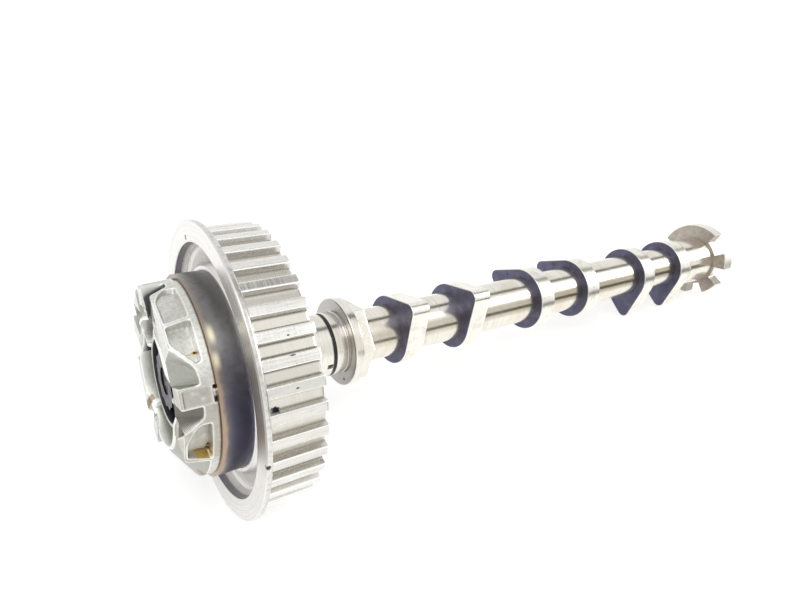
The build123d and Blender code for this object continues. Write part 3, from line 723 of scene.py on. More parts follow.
@dataclass
class BeltWheel:
    """The toothed wheel: front flange, recess with a dished web, hub ring and 38 ribs."""

    teeth: int = 38
    pitch: float = 9.525
    pitch_line_offset: float = 0.7
    tooth_depth: float = 3.0
    tooth_top: float = 4.0
    groove_floor: float = 4.3
    tooth_fillet: float = 0.5
    phase: float = 1.5
    flange_radius: float = 60.0
    rim_thickness: float = 2.2
    foot: float = 3.4
    rear: float = 24.4
    rim_wall: float = 4.4
    recess_wall: float = 2.5
    recess_depth: float = 7.0
    web_thickness: float = 4.0
    web_rise: float = 4.0
    hub_inner: float = 40.0
    hub_wall: float = 3.2
    hub_rear: float = 14.0

    @property
    def tip(self) -> float:
        """Radius of the ribs' tops."""
        return self.teeth * self.pitch / (2 * math.pi) - self.pitch_line_offset

    def tooth_outline(self) -> tuple[Array, Array]:
        """Angles and radii once round the toothed rim.

        One period is a rounded polyline from rib to rib in (across, outward) millimetres, turned to
        polar form by angle = atan(across / outward) and radius = hypot, and repeated for each tooth.

        Returns:
            Angles in degrees and radii, one per column.
        """
        tip, root = self.tip, self.tip - self.tooth_depth
        floor, fillet = self.groove_floor / 2, self.tooth_fillet
        side = math.pi / self.teeth
        mouth = side - math.asin(self.tooth_top / 2 / tip)
        (far, far_up), (near, near_up) = ((tip * math.sin(a), tip * math.cos(a)) for a in (side, mouth))
        legs = np.array([(-far, far_up, 0.0), (-near, near_up, fillet), (-floor, root, fillet),
                         (floor, root, fillet), (near, near_up, fillet), (far, far_up, 0.0),
                         (far, far_up - 30.0, 0.0), (-far, far_up - 30.0, 0.0)])
        line = rounded(legs, 3)
        line = line[(line[:, 1] > root - 1.0) & (np.abs(line[:, 0]) < far - 0.02)]
        line = np.vstack([legs[0, :2], line])
        angle = np.degrees(np.arctan2(line[:, 0], line[:, 1]))
        start = self.phase + 360.0 / self.teeth * np.arange(self.teeth)
        return (start[:, None] + angle).ravel(), np.tile(np.hypot(line[:, 0], line[:, 1]), self.teeth)

    def build(self, finish: Material) -> None:
        """Carry the wheel's section round the axis; the toothed rows take their radius from the teeth.

        Args:
            finish: The wheel's material.
        """
        angles, teeth = self.tooth_outline()
        tip, foot, rear = self.tip, self.foot, self.rear
        root, hub = tip - self.tooth_depth, self.hub_inner + self.hub_wall
        recess, inner = root - self.recess_wall, root - self.rim_wall
        web, back = self.recess_depth, self.recess_depth + self.web_thickness
        corners = [
            (rear, tip, 0.0), (rear, inner, 0.5), (back, inner, 1.2), (back, hub, 1.2),
            (self.hub_rear, hub, 0.4), (self.hub_rear, self.hub_inner, 0.2),
            (web - self.web_rise, self.hub_inner, 0.2),
            (web - self.web_rise, self.hub_inner + self.hub_wall / 2, 0.5), (web, hub + 2.0, 1.6),
            (web, recess - 1.2, 2.4), (0.0, recess, 0.5), (0.0, self.flange_radius, 0.6),
            (self.rim_thickness, self.flange_radius, 0.6), (foot, tip, 0.3)]
        per_corner = 7
        plain = np.vstack([(rear, root - 0.7), rounded(corners)[per_corner:-per_corner]])
        # rows of (station, inward, share of the tooth depth), so the ribs rise from the flange's foot
        toothed = np.array([(foot, 0.0, 0.0), (foot + 0.02, 0.0, 0.5), (foot + 0.15, 0.0, 0.9),
                            (foot + 0.5, 0.0, 1.0), (foot + 1.2, 0.0, 1.0), (10.0, 0.0, 1.0),
                            (17.0, 0.0, 1.0), (rear - 1.0, 0.0, 1.0), (rear - 0.35, 0.0, 1.0),
                            (rear - 0.1, 0.12, 1.0), (rear, 0.4, 1.0)])
        radius = np.vstack([tip - toothed[:, 1:2] + toothed[:, 2:] * (teeth - tip),
                            np.repeat(plain[:, 1:], len(teeth), 1)])
        station = np.vstack([toothed[:, :1], plain[:, :1]])
        ribbed = (np.arange(len(station)) < len(toothed))[:, None]
        corner = bell(tip - radius, 0.16, 0.16) * (radius < tip - 0.02) * ribbed
        # a darker line along each groove's root
        root_line = bell(radius - root, 0.18, 0.2) * (radius > root + 0.02) * ribbed
        surface_piece("wheel_body", turned_grid(station, radius, angles), Body.HOUSING, finish,
                      ["belt_wheel"], 35.0, {"corner": corner, "root_line": root_line})


@dataclass(frozen=True)
class CoverPad:
    """One pad of the cover and the dividers on its two sides, in degrees.

    Each divider is given by its place at the base and at the front, counted from the pad's middle.
    """

    angle: float
    behind: tuple[float, float]
    ahead: tuple[float, float]
    raised: float = 0.0
    ahead_floor: Floor = Floor.WIDE


@dataclass
class FrontCover:
    """The die-cast cover: pads with scooped pockets, diagonal ribs, wide pockets and dividers."""

    pads: tuple[CoverPad, ...] = (
        CoverPad(157.5, (-42.6, -40.2), (41.5, 36.5)),
        CoverPad(73.5, (-31.0, -31.0), (41.4, 43.8), 1.2, Floor.SHELF),
        CoverPad(12.0, (-40.5, -40.5), (30.5, 30.5)), CoverPad(291.0, (0.0, 0.0), (40.5, 40.5)))
    pad_half: float = 6.0
    base: float = -7.8
    height: float = 12.2
    radius: float = 38.5
    draft: float = 0.6
    rim: float = 2.9
    bore: float = 16.5
    ring: float = 18.5
    ring_setback: float = 2.5
    recess: float = 24.4
    recess_depth: float = 6.0
    collar: float = 25.5
    collar_height: float = 0.8
    dip_shift: float = 6.0
    dip_half: float = 25.0
    dip_soft: float = 19.0
    dip_depth: float = 1.1
    spoke_angle: float = 12.0
    spoke_width: float = 1.6
    divider_half: float = 1.15
    scoop_floor: float = 25.6
    scoop_start: float = 4.2
    scoop_slope: float = 1.5
    past_front: float = 14.5  # height that an outline takes where its pocket is open to the front
    wide_floor: tuple[float, float] = (3.6, 1.5)  # depth at the rim, and its loss towards the front
    shelf_floor: tuple[float, float] = (2.3, 2.0)
    panel_depth: float = 0.35
    nick_depth: float = 1.6
    chord_start: tuple[float, float] = (38.0, 19.0)
    chord_end: tuple[float, float] = (26.0, 43.0)
    chord_slope: float = 1.55
    chord_range: tuple[float, float] = (8.0, 60.0)
    open_angle: float = 229.5
    open_start: tuple[float, float] = (-29.3, -34.4)
    open_end: float = 55.5
    wall: float = 0.5
    soft: float = 0.3
    front_fillet: float = 0.35
    dip_apron: float = 2.2  # how far the dips reach out over the front face
    raised_from: float = 30.0  # radius from which a raised pad stands up
    columns: int = 800
    side_rows: int = 40
    front_rows: int = 22

    @property
    def front(self) -> float:
        """Station of the front face."""
        return self.base - self.height

    def outline_depth(self, across: Array, height: Array, corners: Corners) -> Array:
        """Distance inside a convex outline, in millimetres, negative outside.

        It is the smallest of the distances to the outline's sides, softened near the corners by
        -soft log(sum exp(-distance / soft)).

        Args:
            across: Distance round the side from the pad's middle.
            height: Height in front of the stator.
            corners: The outline as (degrees from the pad, height), counter-clockwise.

        Returns:
            The distances, in the shape of height.
        """
        place = np.array(corners) * (math.radians(1.0) * self.radius, 1.0)
        ahead = np.roll(place, -1, 0) - place
        inward = np.stack([-ahead[:, 1], ahead[:, 0]], -1) / np.linalg.norm(ahead, axis=1)[:, None]
        total = np.zeros_like(height)
        for corner, normal in zip(place, inward):
            gap = (across - corner[0]) * normal[0] + (height - corner[1]) * normal[1]
            total += np.exp(np.clip(-gap / self.soft, -60.0, 60.0))
        return -self.soft * np.log(total)

    def plans(self, pad: CoverPad) -> tuple[tuple[Corners, Floor, float], ...]:
        """Outlines of the pockets beside one pad, each with its kind of floor and its shade."""
        half, top = self.divider_half, self.past_front
        behind = (((pad.behind[0] + half, 2.9), (-17.8, 2.9), (-16.6, 4.8), (-29.5, 11.6),
                   (pad.behind[1] + half, 11.6)), Floor.WIDE, 0.1)
        return ((behind,) if pad.behind[0] < 0.0 else ()) + (
            (((5.4, 5.0), (11.3, 5.2), (17.3, 10.4), (20.5, top), (5.4, top)), Floor.SCOOP, 1.0),
            (((-29.0, top), (-27.5, 12.4), (-14.6, 5.4), (-11.6, 5.0), (-6.1, 5.0), (-6.1, top)),
             Floor.SCOOP, 1.0),
            (((15.3, 3.0), (pad.ahead[0] - half, 3.0), (pad.ahead[1] - half, 11.6), (26.0, 11.6),
              (19.0, 9.3), (15.3, 6.6)), pad.ahead_floor, 0.1),
            (((-4.9, 1.9), (4.9, 1.9), (4.9, 11.4), (-4.9, 11.4)), Floor.PANEL, 0.15),
            (((-4.9, -0.6), (4.7, -0.6), (4.7, 1.3), (-4.9, 1.3)), Floor.NICK, 0.6))

    def pockets(self, angles: Array, height: Array) -> tuple[Array, Array, Array]:
        """Depth, edge shine and pocket shade over the unrolled side.

        Each pocket is a smooth step of its outline distance times its depth at that place. A scoop's
        floor falls in a straight slope from the side near the base to the collar at the front.

        Args:
            angles: Angle of each column.
            height: Height of each point in front of the stator.

        Returns:
            Depth below the side in millimetres, and the masks edge and pit.
        """
        side = self.radius - self.draft * height / self.height
        slope = self.radius - self.scoop_slope * (height - self.scoop_start)
        fall = unit((height - self.rim) / (self.height - self.rim))
        floors = {Floor.SCOOP: np.maximum(side - np.maximum(slope, self.scoop_floor), 0.0),
                  Floor.WIDE: self.wide_floor[0] - self.wide_floor[1] * fall,
                  Floor.SHELF: self.shelf_floor[0] - self.shelf_floor[1] * fall,
                  Floor.PANEL: self.panel_depth, Floor.NICK: self.nick_depth}
        (low, high), foot, top = self.open_start, self.scoop_start - 0.6, self.past_front
        rows = [(pad.angle, plan) for pad in self.pads for plan in self.plans(pad)]
        rows.append((self.open_angle, (((low, foot), (self.open_end, foot), (self.open_end, top),
                                        (high, top)), Floor.SCOOP, 0.8)))
        depth, edge, pit = (np.zeros_like(side) for _ in range(3))
        for centre, (corners, floor, shade) in rows:
            across = wrapped(angles - centre) * (math.radians(1.0) * self.radius)
            inside = self.outline_depth(across, height, corners)
            depth = np.maximum(depth, eased(inside / self.wall) * floors[floor])
            line = 0.45 if floor is Floor.PANEL else 1.0
            edge = np.maximum(edge, line * bell(inside, -0.18, 0.26))
            pit = np.maximum(pit, shade * unit(inside / 0.12 + 0.5))
        return depth, edge, pit

    def sunk(self, angles: Array, radius: Array) -> tuple[Array, Array]:
        """How far each scoop's ahead wall sinks the front face, and the shine along its edge.

        The wall crosses the front face along a straight chord and falls at an even slope from it, down
        to the scoop's sloping floor.

        Args:
            angles: Angles round the shaft, one per column.
            radius: Radii of the front face's grid.

        Returns:
            The depth behind the front face in millimetres, and the edge mask.
        """
        start, end = (np.array([r * math.sin(math.radians(a)), r * math.cos(math.radians(a))])
                      for r, a in (self.chord_start, self.chord_end))
        along = (end - start) / np.linalg.norm(end - start)
        floor = self.height - self.scoop_start - (self.radius - radius) / self.scoop_slope
        depth, edge = np.zeros_like(radius), np.zeros_like(radius)
        for pad in self.pads:
            off = wrapped(angles - pad.angle)
            turn = np.radians(off)
            inside = ((radius * np.sin(turn) - start[0]) * along[1]
                      - (radius * np.cos(turn) - start[1]) * along[0])
            inside = np.where((off > self.chord_range[0]) & (off < self.chord_range[1]), inside, -9.0)
            depth = np.maximum(depth, np.clip(self.chord_slope * inside, 0.0, np.maximum(floor, 0.0)))
            edge = np.maximum(edge, bell(inside, -0.15, 0.35))
        return depth, edge

    def nearest(self, angles: Array, shift: float) -> Array:
        """Angle from the nearest pad's middle plus a shift, in degrees, without its sign."""
        return np.min([np.abs(wrapped(angles - pad.angle - shift)) for pad in self.pads], axis=0)

    def side(self, angles: Array, lift: Array) -> Rows:
        """Rows from the base up the drafted side, less the pockets' depth, to the front's fillet."""
        rise = np.concatenate([[0.0, 0.15], np.linspace(0.4, self.height - 0.9, self.side_rows),
                               self.height - np.array([0.6, 0.35, 0.15, 0.04])])
        ease = np.concatenate([[0.35, 0.1], np.zeros(self.side_rows), [0.05, 0.15, 0.35, 0.6]])
        height = np.repeat(rise[:, None], self.columns, 1)
        depth, edge, pit = self.pockets(angles, height)
        radius = self.radius - self.draft * height / self.height - depth - ease[:, None]
        return self.base - height - lift * unit(height / self.height) ** 6, radius, edge, pit

    def face(self, angles: Array, lift: Array, dip: Array, outer: Array) -> Rows:
        """Rows from the side's last radius in to the collar, in even shares, so they follow its waves."""
        share = np.linspace(0.0, 1.0, self.front_rows + 1)[1:, None]
        radius = outer + (self.collar - outer) * share
        low = unit((self.collar + self.dip_apron - radius) / 0.8) * dip * self.dip_depth
        sunk, chord = self.sunk(angles, radius)
        station = self.front + low - lift * unit((radius - self.raised_from) / 0.6) + sunk
        # edge: painted highlight at the outer rim and along the chords; pit: painted shade where the scoops
        # sink the face
        return station, radius, np.maximum(bell(outer - radius, 0.0, 0.9), chord), unit(sunk / 0.8)

    def well(self, angles: Array, dip: Array) -> Rows:
        """Rows over collar, recess, ring and bore; spokes lift them to the level of the collar's dips."""
        rows = self.well_rows()
        on_tip, crossed = rows[:, 2:3] > 0.5, rows[:, 3:] > 0.5
        radius = np.repeat(rows[:, :1], self.columns, 1)
        tip = self.front - self.collar_height + (self.collar_height + self.dip_depth) * dip
        station = np.where(on_tip, tip + rows[:, 1:2], rows[:, 1:2])
        beside = np.sin(np.radians(np.minimum(self.nearest(angles, self.spoke_angle), 60.0))) * radius
        spoke = unit((self.spoke_width / 2 + 0.1 - beside) / 0.2)
        spoke = spoke * (radius > self.ring - 1.0) * (radius < self.recess + 0.6) * crossed
        bridge = np.minimum(station, self.front + self.dip_depth)
        station = station * (1 - spoke) + bridge * spoke
        # edge: painted highlight on the collar's tip and spokes; pit: painted shade deepening down the
        # well, near black in the bore
        wall = 0.9 * unit((station - self.front - 0.5) / 4.0)
        pit = np.where(radius < self.bore + 0.2, 2.0, wall) * (1 - spoke)
        return station, radius, 0.8 * unit(on_tip + spoke), pit

    def well_rows(self) -> Array:
        """Rows of (radius, station, on the collar's tip, crossed by spokes) from the collar to the base.

        Stations on the collar's tip count from the tip.
        """
        floor, top = self.front + self.recess_depth, self.front + self.ring_setback
        collar, recess, ring, bore = self.collar, self.recess, self.ring, self.bore
        rows = [(collar, 0.4, 1, 0), (collar - 0.06, 0.12, 1, 0), (collar - 0.3, 0.0, 1, 0),
                (recess + 0.3, 0.0, 1, 1), (recess + 0.06, 0.12, 1, 1), (recess, 0.4, 1, 1),
                (recess - 0.02, self.front + 3.0, 0, 1), (recess - 0.04, floor - 1.4, 0, 1),
                (recess - 0.15, floor - 0.5, 0, 1), (recess - 0.5, floor - 0.12, 0, 1)]
        rows += [(r, floor, 0, 1) for r in np.linspace(recess - 1.0, ring + 1.0, 8)]
        rows += [(ring + 0.5, floor - 0.12, 0, 1), (ring + 0.15, floor - 0.5, 0, 1),
                 (ring + 0.04, floor - 1.2, 0, 1), (ring, top + 0.4, 0, 1),
                 (ring - 0.12, top + 0.12, 0, 1), (ring - 0.4, top, 0, 1), (bore + 0.4, top, 0, 0),
                 (bore + 0.12, top + 0.12, 0, 0), (bore, top + 0.4, 0, 0), (bore, -13.0, 0, 0),
                 (bore, self.base - 0.3, 0, 0), (bore + 0.3, self.base, 0, 0), (27.0, self.base, 0, 0),
                 (37.6, self.base, 0, 0)]
        return np.array(rows, dtype=float)

    def build(self, finish: Material) -> None:
        """Wrap the casting as one closed grid of side, front face and well.

        Args:
            finish: The casting's material.
        """
        angles = np.linspace(0.0, 360.0, self.columns, endpoint=False)
        lift = np.max([pad.raised * unit((self.pad_half - np.abs(wrapped(angles - pad.angle))) / 0.6)
                       for pad in self.pads], axis=0)
        dip = eased((self.dip_half - self.nearest(angles, self.dip_shift)) / self.dip_soft)
        side = self.side(angles, lift)
        outer = side[1][-1] - self.front_fillet
        parts = side, self.face(angles, lift, dip, outer), self.well(angles, dip)
        station, radius, edge, pit = (np.vstack(rows) for rows in zip(*parts))
        surface_piece("cover_casting", turned_grid(station, radius, angles), Body.HOUSING,
                      finish, ["front_cover"], 60.0, {"edge": edge, "pit": pit})


@dataclass
class DriveJournal:
    """The shaft's steel nose: journal with seal grooves and oil hole, collar and spanner hexagon."""

    start: float = 13.96
    radius: float = 14.0
    bore: float = 8.4
    grooves: tuple[float, float] = (26.8, 49.3)
    groove_width: float = 1.6
    groove_depth: float = 1.4
    undercut: float = 54.6
    undercut_depth: float = 0.5
    collar_front: float = 55.8
    collar_radius: float = 19.8
    collar_rear: float = 60.0
    bore_end: float = 52.3
    hexagon_rear: float = 66.4
    flats: float = 32.0
    corner_radius: float = 18.5
    corner_angle: float = 109.0
    tube_radius: float = 12.0
    hole_station: float = 46.9
    hole_angle: float = 191.0
    hole_side: float = 2.0
    hole_depth: float = 4.0
    hole_soft: float = 0.3  # width of the hole's worn edge
    column_step: float = 0.75

    def build(self, finish: Material) -> None:
        """Turn the section; the hexagon's rows take radius = half flats / cos(angle from a flat's middle).

        Args:
            finish: The journal's material.
        """
        half, blank = self.groove_width / 2, self.corner_radius + 0.4
        floor, under = self.radius - self.groove_depth, self.radius - self.undercut_depth
        corners = [(self.start, self.bore, 0.3), (self.start, self.radius, 0.5)]
        for station in self.grooves:
            corners += [(station - half, self.radius, 0.12), (station - half, floor, 0.1),
                        (station + half, floor, 0.1), (station + half, self.radius, 0.12)]
        corners += [(self.undercut, self.radius, 0.15), (self.undercut, under, 0.1),
                    (self.collar_front, under, 0.25), (self.collar_front, self.collar_radius, 0.7),
                    (self.collar_rear, self.collar_radius, 0.6), (self.collar_rear, blank, 0.1),
                    (self.hexagon_rear, blank, 0.8), (self.hexagon_rear, self.tube_radius, 0.2),
                    (self.bore_end, self.tube_radius, 0.1), (self.bore_end, self.bore, 0.1)]
        line = self.finer(rounded(corners))
        station = line[:, :1]
        angles = np.arange(0.0, 360.0, self.column_step)
        off = (angles - self.corner_angle) % 60.0 - 30.0
        hexagon = np.minimum(self.flats / 2 / np.cos(np.radians(off)), self.corner_radius)
        radius = np.repeat(line[:, 1:], len(angles), 1)
        milled = (line[:, 0] > self.collar_rear + 0.05) & (line[:, 1] > self.tube_radius + 1.0)
        limit = hexagon - np.maximum(0.0, blank - line[milled, 1:])
        radius[milled] = np.minimum(radius[milled], limit)
        arc = np.abs(wrapped(angles - self.hole_angle)) * math.radians(self.radius)
        along, across = (unit((self.hole_side / 2 + self.hole_soft / 2 - gap) / self.hole_soft)
                         for gap in (np.abs(station - self.hole_station), arc))
        radius = radius - (radius > self.radius - 0.2) * along * across * self.hole_depth
        surface_piece("journal_body", turned_grid(station, radius, angles), Body.SHAFT, finish,
                      ["drive_journal"])

    def finer(self, line: Array) -> Array:
        """Add rows every 0.25 mm along the outline of (station, radius) across the oil hole."""
        before = ((np.abs(line[:, 1] - self.radius) < 1e-6) & (line[:, 0] < self.hole_station)
                  & (line[:, 0] > self.grooves[0]))
        place = int(np.max(np.nonzero(before)[0])) + 1
        stations = np.arange(self.hole_station - 1.5, self.hole_station + 1.51, 0.25)
        rows = np.stack([stations, np.full_like(stations, self.radius)], -1)
        return np.vstack([line[:place], rows, line[place:]])


@dataclass
class TurnedSleeve:
    """A plain turned ring: the cam tube or the rear journal."""

    name: str
    node: str
    start: float
    end: float
    outer: float
    inner: float
    fillet: float = 0.4
    column_step: float = 1.5

    def build(self, finish: Material) -> None:
        """Turn the rectangular section with its rounded edges, and give it its material."""
        line = rounded([(self.start, self.inner, 0.2), (self.start, self.outer, self.fillet),
                        (self.end, self.outer, self.fillet), (self.end, self.inner, 0.3)])
        grid = turned_grid(line[:, :1], line[:, 1:], np.arange(0.0, 360.0, self.column_step))
        surface_piece(self.name, grid, Body.SHAFT, finish, [self.node])


@dataclass
class Cam:
    """One cam of the shaft: base circle, straight flanks and a round nose, with broken edges."""

    number: int
    station: float
    nose_angle: float
    width: float = 9.5
    base: float = 16.2
    lift: float = 9.0
    nose: float = 4.0
    bore: float = 12.0
    edge: float = 0.45
    back_columns: int = 120
    nose_columns: int = 61
    flank_columns: int = 12

    def outline(self) -> tuple[Array, Array]:
        """Points and outward normals round the cam, with the nose on +X of its own plane.

        The outline is an arc of the base circle, a straight flank, an arc of the nose and the other
        flank. On each arc the normal is the direction from its centre, and a flank has one normal.

        Returns:
            Points and normals of shape (columns, 2).
        """
        centre = np.array([self.base + self.lift - self.nose, 0.0])
        flank = math.acos((self.base - self.nose) / centre[0])
        share = np.linspace(0.0, 1.0, self.flank_columns + 2)[1:-1, None]
        high = np.array([math.cos(flank), math.sin(flank)])
        low = high * (1, -1)
        back, front = (np.stack([np.cos(turn), np.sin(turn)], -1)
                       for turn in (np.linspace(flank, 2 * math.pi - flank, self.back_columns),
                                    np.linspace(-flank, flank, self.nose_columns)))
        low_line = low * self.base * (1 - share) + (centre + low * self.nose) * share
        high_line = (centre + high * self.nose) * (1 - share) + high * self.base * share
        points = np.vstack([back * self.base, low_line, centre + front * self.nose, high_line])
        normals = np.vstack([back, np.tile(low, (len(share), 1)), front, np.tile(high, (len(share), 1))])
        return points, normals

    def build(self, finish: Material) -> None:
        """Carry the outline along the shaft; the rows near the faces step in by the edge's fillet.

        Args:
            finish: The cam's material.
        """
        turn = math.radians(self.nose_angle)
        spin = np.array([[math.cos(turn), math.sin(turn)], [-math.sin(turn), math.cos(turn)]])
        points, normals = (part @ spin for part in self.outline())
        bore = points / np.linalg.norm(points, axis=1)[:, None] * self.bore
        e, w = self.edge, self.width
        shape = mirrored([(0.0, e + 0.35), (0.0, e), (0.09 * e, 0.55 * e), (0.3 * e, 0.3 * e),
                          (0.55 * e, 0.09 * e), (e, 0.0), (e + 0.3, 0.0)], w)
        rim = points - normals * shape[:, 1][:, None, None]
        rows = np.concatenate([bore[None], (bore + (rim[0] - bore) * 0.5)[None], rim,
                               (bore + (rim[-1] - bore) * 0.5)[None], bore[None]])
        stations = self.station + np.concatenate([[0.0] * 2, shape[:, 0], [w] * 2])
        side = [1.0, 1.0, 1.0, 1.0, 0.75, 0.2]
        side = np.array(side + [0.0] * (len(stations) - 2 * len(side)) + side[::-1])
        grid = np.concatenate([np.repeat(stations[:, None, None], len(points), 1), rows], -1)
        surface_piece(f"cam_{self.number}", grid, Body.SHAFT, finish,
                      [f"cam_lobe_{self.number}"], 50.0, {"side": np.repeat(side[:, None], len(points), 1)})


@dataclass
class TriggerWheel:
    """The cam-position wheel at the rear: a thick disc with four unequal teeth."""

    front: float = 323.0
    thickness: float = 7.6
    tip: float = 23.1
    root: float = 16.0
    bore: float = 12.0
    teeth: tuple[tuple[float, float], ...] = ((18.0, 116.0), (149.5, 175.5), (205.0, 233.0), (262.0, 345.0))
    edge: float = 0.35
    column_step: float = 0.5

    def build(self, finish: Material) -> None:
        """Turn the section with an outer radius that steps from root to tip over one column per flank.

        Args:
            finish: The wheel's material.
        """
        angles = np.arange(0.0, 360.0, self.column_step)
        raised = np.max([unit(np.minimum(angles - start, end - angles) / self.column_step + 0.5)
                         for start, end in self.teeth], axis=0)
        outer = self.root + (self.tip - self.root) * raised
        e, w = self.edge, self.thickness
        shape = mirrored([(0.0, e + 0.3), (0.0, e), (0.3 * e, 0.3 * e), (e, 0.0), (e + 0.3, 0.0)], w)
        face = np.repeat([[self.bore], [self.root - 2.0]], len(angles), 1)
        radius = np.vstack([face, outer - shape[:, 1:], face[::-1]])
        station = np.concatenate([[0.0, 0.0], shape[:, 0], [w, w]])[:, None] + self.front
        surface_piece("position_wheel", turned_grid(station, radius, angles), Body.SHAFT,
                      finish, ["trigger_wheel"])


@dataclass
class Studio:
    """Camera, floor, world and lamps of a plain, soft white studio."""

    image_width: int = 800
    focal_pixels: float = 620.0
    azimuth: float = -35.46
    elevation: float = 26.57
    roll: float = 6.11
    place: tuple[float, float, float] = (-97.60, -208.40, 142.50)
    floor_tilt: float = 6.49
    floor_touch: float = -60.0  # height of the flange's lowest point
    floor_half: float = 6.0  # metres
    floor_lines: int = 9
    sensor_width: float = 36.0
    floor_glow: float = 0.45
    sky: float = 0.7
    key: float = 0.9
    fill: float = 0.8

    def camera(self) -> None:
        """Set the camera where the photograph's perspective puts it.

        The camera's back is (sin a cos e, -cos a cos e, sin e) for azimuth a and elevation e; its
        right and up are turned about that by the roll.
        """
        a, e, r = (math.radians(v) for v in (self.azimuth, self.elevation, self.roll))
        back = Vector((math.sin(a) * math.cos(e), -math.cos(a) * math.cos(e), math.sin(e)))
        right = Vector((math.cos(a), math.sin(a), 0.0))
        up = back.cross(right)
        turn = Matrix((right * math.cos(r) + up * math.sin(r),
                       up * math.cos(r) - right * math.sin(r), back))
        data = bpy.data.cameras.new("studio_camera")
        data.sensor_width = self.sensor_width
        data.lens = self.focal_pixels / self.image_width * self.sensor_width
        data.clip_start, data.clip_end = 0.005, 20.0
        made = new_object("studio_camera", data)
        made.matrix_world = Matrix.Translation(Vector(self.place) * MM) @ turn.transposed().to_4x4()
        bpy.context.scene.camera = made

    def floor(self) -> None:
        """A pale floor that touches the flange's rim and the last cam's nose, as the shaft lies.

        Its plane has the normal (-sin t, 0, cos t) for the tilt t, and touches the flange's circle
        at its front edge.
        """
        tilt = math.radians(self.floor_tilt)
        touch = np.array([-ORIGIN_STATION * MM, 0.0, self.floor_touch * MM])
        half, count = self.floor_half, self.floor_lines
        u, v = np.meshgrid(*[np.linspace(-half, half, count)] * 2, indexing="ij")
        points = (touch + u[..., None] * np.array([math.cos(tilt), 0.0, math.sin(tilt)])
                  + v[..., None] * np.array([0.0, 1.0, 0.0]))
        index = np.arange(count * count).reshape(count, count)
        faces = np.stack([index[:-1, :-1], index[1:, :-1], index[1:, 1:], index[:-1, 1:]], -1)
        mesh = bpy.data.meshes.new("floor")
        mesh.from_pydata(points.reshape(-1, 3).tolist(), [], faces.reshape(-1, 4).tolist())
        mesh.update()
        mesh.materials.append(self.floor_paper())
        made = new_object("floor", mesh)

    def seen(self, tree: Tree) -> Socket:
        """1 for rays from the camera, from reflections and through glass, and 0 for scattered light."""
        rays = add_node(tree, "ShaderNodeLightPath").outputs
        direct = rays["Is Camera Ray"]
        for other in ("Is Glossy Ray", "Is Transmission Ray"):
            direct = add_node(tree, "ShaderNodeMath", {"operation": "MAXIMUM"},
                              {0: direct, 1: rays[other]}).outputs[0]
        return direct

    def floor_paper(self) -> Material:
        """White studio paper: matt, with a little light of its own, so that only soft shadows show."""
        paper = bpy.data.materials.new("studio_paper")
        tree = fresh_tree(paper)
        matt = add_node(tree, "ShaderNodeBsdfDiffuse", links={"Color": linear("#E6E6E6")})
        own = add_node(tree, "ShaderNodeMath", {"operation": "MULTIPLY"},
                       {0: self.seen(tree), 1: self.floor_glow}).outputs[0]
        glow = add_node(tree, "ShaderNodeEmission", links={"Strength": own})
        both = add_node(tree, "ShaderNodeAddShader", links={0: matt.outputs[0], 1: glow.outputs[0]})
        add_node(tree, "ShaderNodeOutputMaterial", links={"Surface": both.outputs[0]})
        return paper

    def world(self) -> None:
        """White in direct view, in reflections and through glass; a soft even sky for everything else."""
        world = bpy.data.worlds.new("studio_sky")
        tree = fresh_tree(world)
        power = add_node(tree, "ShaderNodeMapRange", links={
            "Value": self.seen(tree), "To Min": self.sky, "To Max": 1.0}).outputs[0]
        light = add_node(tree, "ShaderNodeBackground", links={
            "Color": linear("#FFFFFF"), "Strength": power})
        add_node(tree, "ShaderNodeOutputWorld", links={"Surface": light.outputs[0]})
        bpy.context.scene.world = world

    def lamps(self) -> None:
        """Two soft suns: a key from the front right and a fill from above on the left."""
        for name, energy, spread, toward in (("soft_key", self.key, 24.0, (-0.76, 0.42, -0.5)),
                                             ("soft_fill", self.fill, 40.0, (0.35, 0.5, -1.0))):
            data = bpy.data.lights.new(name, "SUN")
            data.energy = energy
            data.angle = math.radians(spread)
            made = new_object(name, data)
            made.rotation_mode = "QUATERNION"
            made.rotation_quaternion = Vector(toward).to_track_quat("-Z", "Y")

    def flags(self) -> None:
        """Dark cards that only reflections see, so that the bright metal has something to mirror.

        One lies on the floor to the front right of the shaft and one hangs along above it.
        """
        card = bpy.data.materials.new("dark_card")
        tree = fresh_tree(card)
        matt = add_node(tree, "ShaderNodeBsdfDiffuse", links={"Color": linear("#4C4840")})
        add_node(tree, "ShaderNodeOutputMaterial", links={"Surface": matt.outputs[0]})
        rise = math.tan(math.radians(self.floor_tilt))
        ground = [(x, y, self.floor_touch * MM + (x + ORIGIN_STATION * MM) * rise + 0.001)
                  for x, y in ((0.10, -0.17), (0.30, -0.60), (0.62, -0.25), (0.40, -0.045))]
        above = [(0.1, -0.12, 1.0), (2.4, -0.12, 1.0), (2.4, 0.12, 1.0), (0.1, 0.12, 1.0)]
        for name, corners in (("floor_flag", ground), ("overhead_flag", above)):
            mesh = bpy.data.meshes.new(name)
            mesh.from_pydata(corners, [], [(0, 1, 2, 3)])
            mesh.materials.append(card)
            made = new_object(name, mesh)
            made.visible_camera = made.visible_diffuse = made.visible_shadow = False

    def build(self) -> None:
        """Set up the whole studio."""
        self.camera()
        self.floor()
        self.world()
        self.lamps()
        self.flags()
        bpy.context.scene.view_settings.view_transform = "Standard"


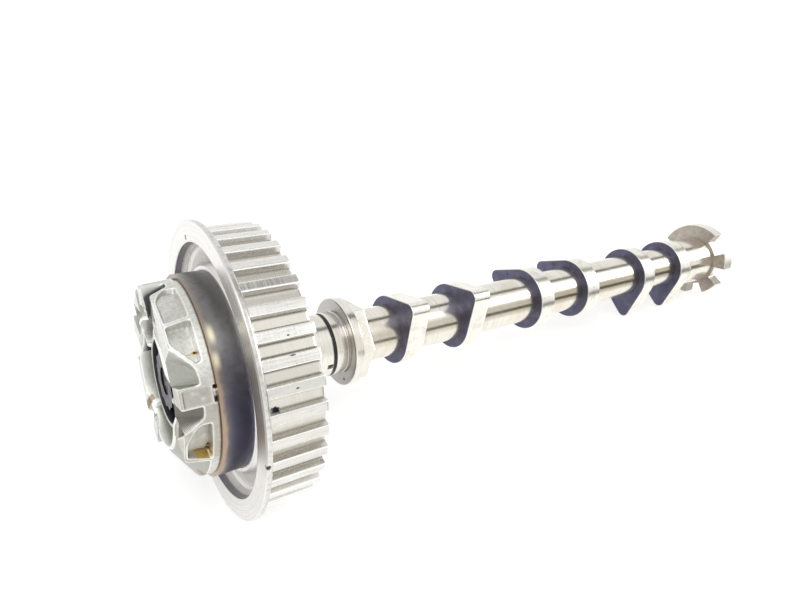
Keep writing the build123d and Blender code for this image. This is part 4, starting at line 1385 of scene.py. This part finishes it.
@dataclass
class Camshaft:
    """The whole object: builds each sub-assembly and dresses what stays."""

    first_cam: float = 83.8
    cylinder_pitch: float = 84.0
    pair_spacing: float = 35.0
    cam_width: float = 9.5
    cylinders: int = 3
    first_nose: float = 131.0
    firing_step: float = -120.0

    def cams(self) -> list[Cam]:
        """The six cams in pairs, each pair turned by the firing step."""
        return [Cam(2 * cylinder + side + 1,
                    self.first_cam + cylinder * self.cylinder_pitch + side * self.pair_spacing,
                    self.first_nose + cylinder * self.firing_step, self.cam_width)
                for cylinder in range(self.cylinders) for side in range(2)]

    def build(self) -> None:
        """Build every piece and dress the CAD nodes that stay."""
        cams = self.cams()
        ends = [place for cam in cams for place in (cam.station, cam.station + cam.width)]
        spring = Finish("spring_wire", "#8C8880", 0.3).material()
        BeltWheel().build(WheelSteel("sintered_turned_steel", "#E3E1DD", 0.3).material())
        FrontCover().build(DieCastAluminium("die_cast_aluminium", "#DEDED9", 0.42, 0.9, 0.05).material())
        DriveJournal().build(JournalSteel("ground_journal_steel", "#EAE8E2", 0.22, bump=0.005).material())
        TurnedSleeve("tube_body", "cam_tube", 51.8, 330.6, 12.0, 8.6).build(
            TubeSteel("polished_tube_steel", "#EAE6DD", 0.2, bump=0.003, cam_ends=ends).material())
        TurnedSleeve("rear_journal_sleeve", "rear_journal", 299.0, 323.0, 14.5, 12.0, 0.7).build(
            GroundSteel("ground_sleeve_steel", "#EAE6DD", 0.2, bump=0.004).material())
        hardened = CamSteel("hardened_cam_steel", "#F1EEE6", 0.26, bump=0.006).material()
        for cam in cams:
            cam.build(hardened)
        TriggerWheel().build(TriggerSteel("position_wheel_steel", "#B0A89E", 0.38).material())
        dress = (
            (Finish("plain_steel", "#B5B2AB", 0.36).material(),
             ("rear_plate", "lock_bush", "lock_pin", "lock_spring_seat", "dowel_pin", "end_plug",
              "valve_spool", "retaining_ring")),
            (spring, ("vane_seal_springs", "land_seal_springs")),
            (Finish("filled_seal_plastic", "#17171A", 0.5, 0.0).material(),
             ("seal_ring_front", "seal_ring_rear", "land_seals", "vane_seals")),
            (SteamOxide("steam_oxide_steel", "#6B6974", 0.36, bump=0.01).material(), ("stator",)),
            (Finish("oiled_sintered_steel", "#3B3943", 0.45).material(), ("rotor",)),
            (BlackBolt("black_oxide_bolt_steel", "#2C2A34", 0.35, bump=0.01).material(), ("valve_bolt",)),
            (Finish("zinc_plated_steel", "#D6D4CC", 0.3).material(), ("cover_screws",)))
        CadDress({node: finish for finish, nodes in dress for node in nodes}).build()
        for node, joint in (("lock_spring", "lock_pin_slide"), ("spool_spring", "spool_slide")):
            CoilSpring(node, joint).build(spring)


def main() -> None:
    """Build the studio and the camshaft."""
    logging.basicConfig(level=logging.INFO, format="%(name)s: %(message)s")
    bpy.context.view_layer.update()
    Studio().build()
    Camshaft().build()
    bpy.context.view_layer.update()


if __name__ == "__main__":
    main()
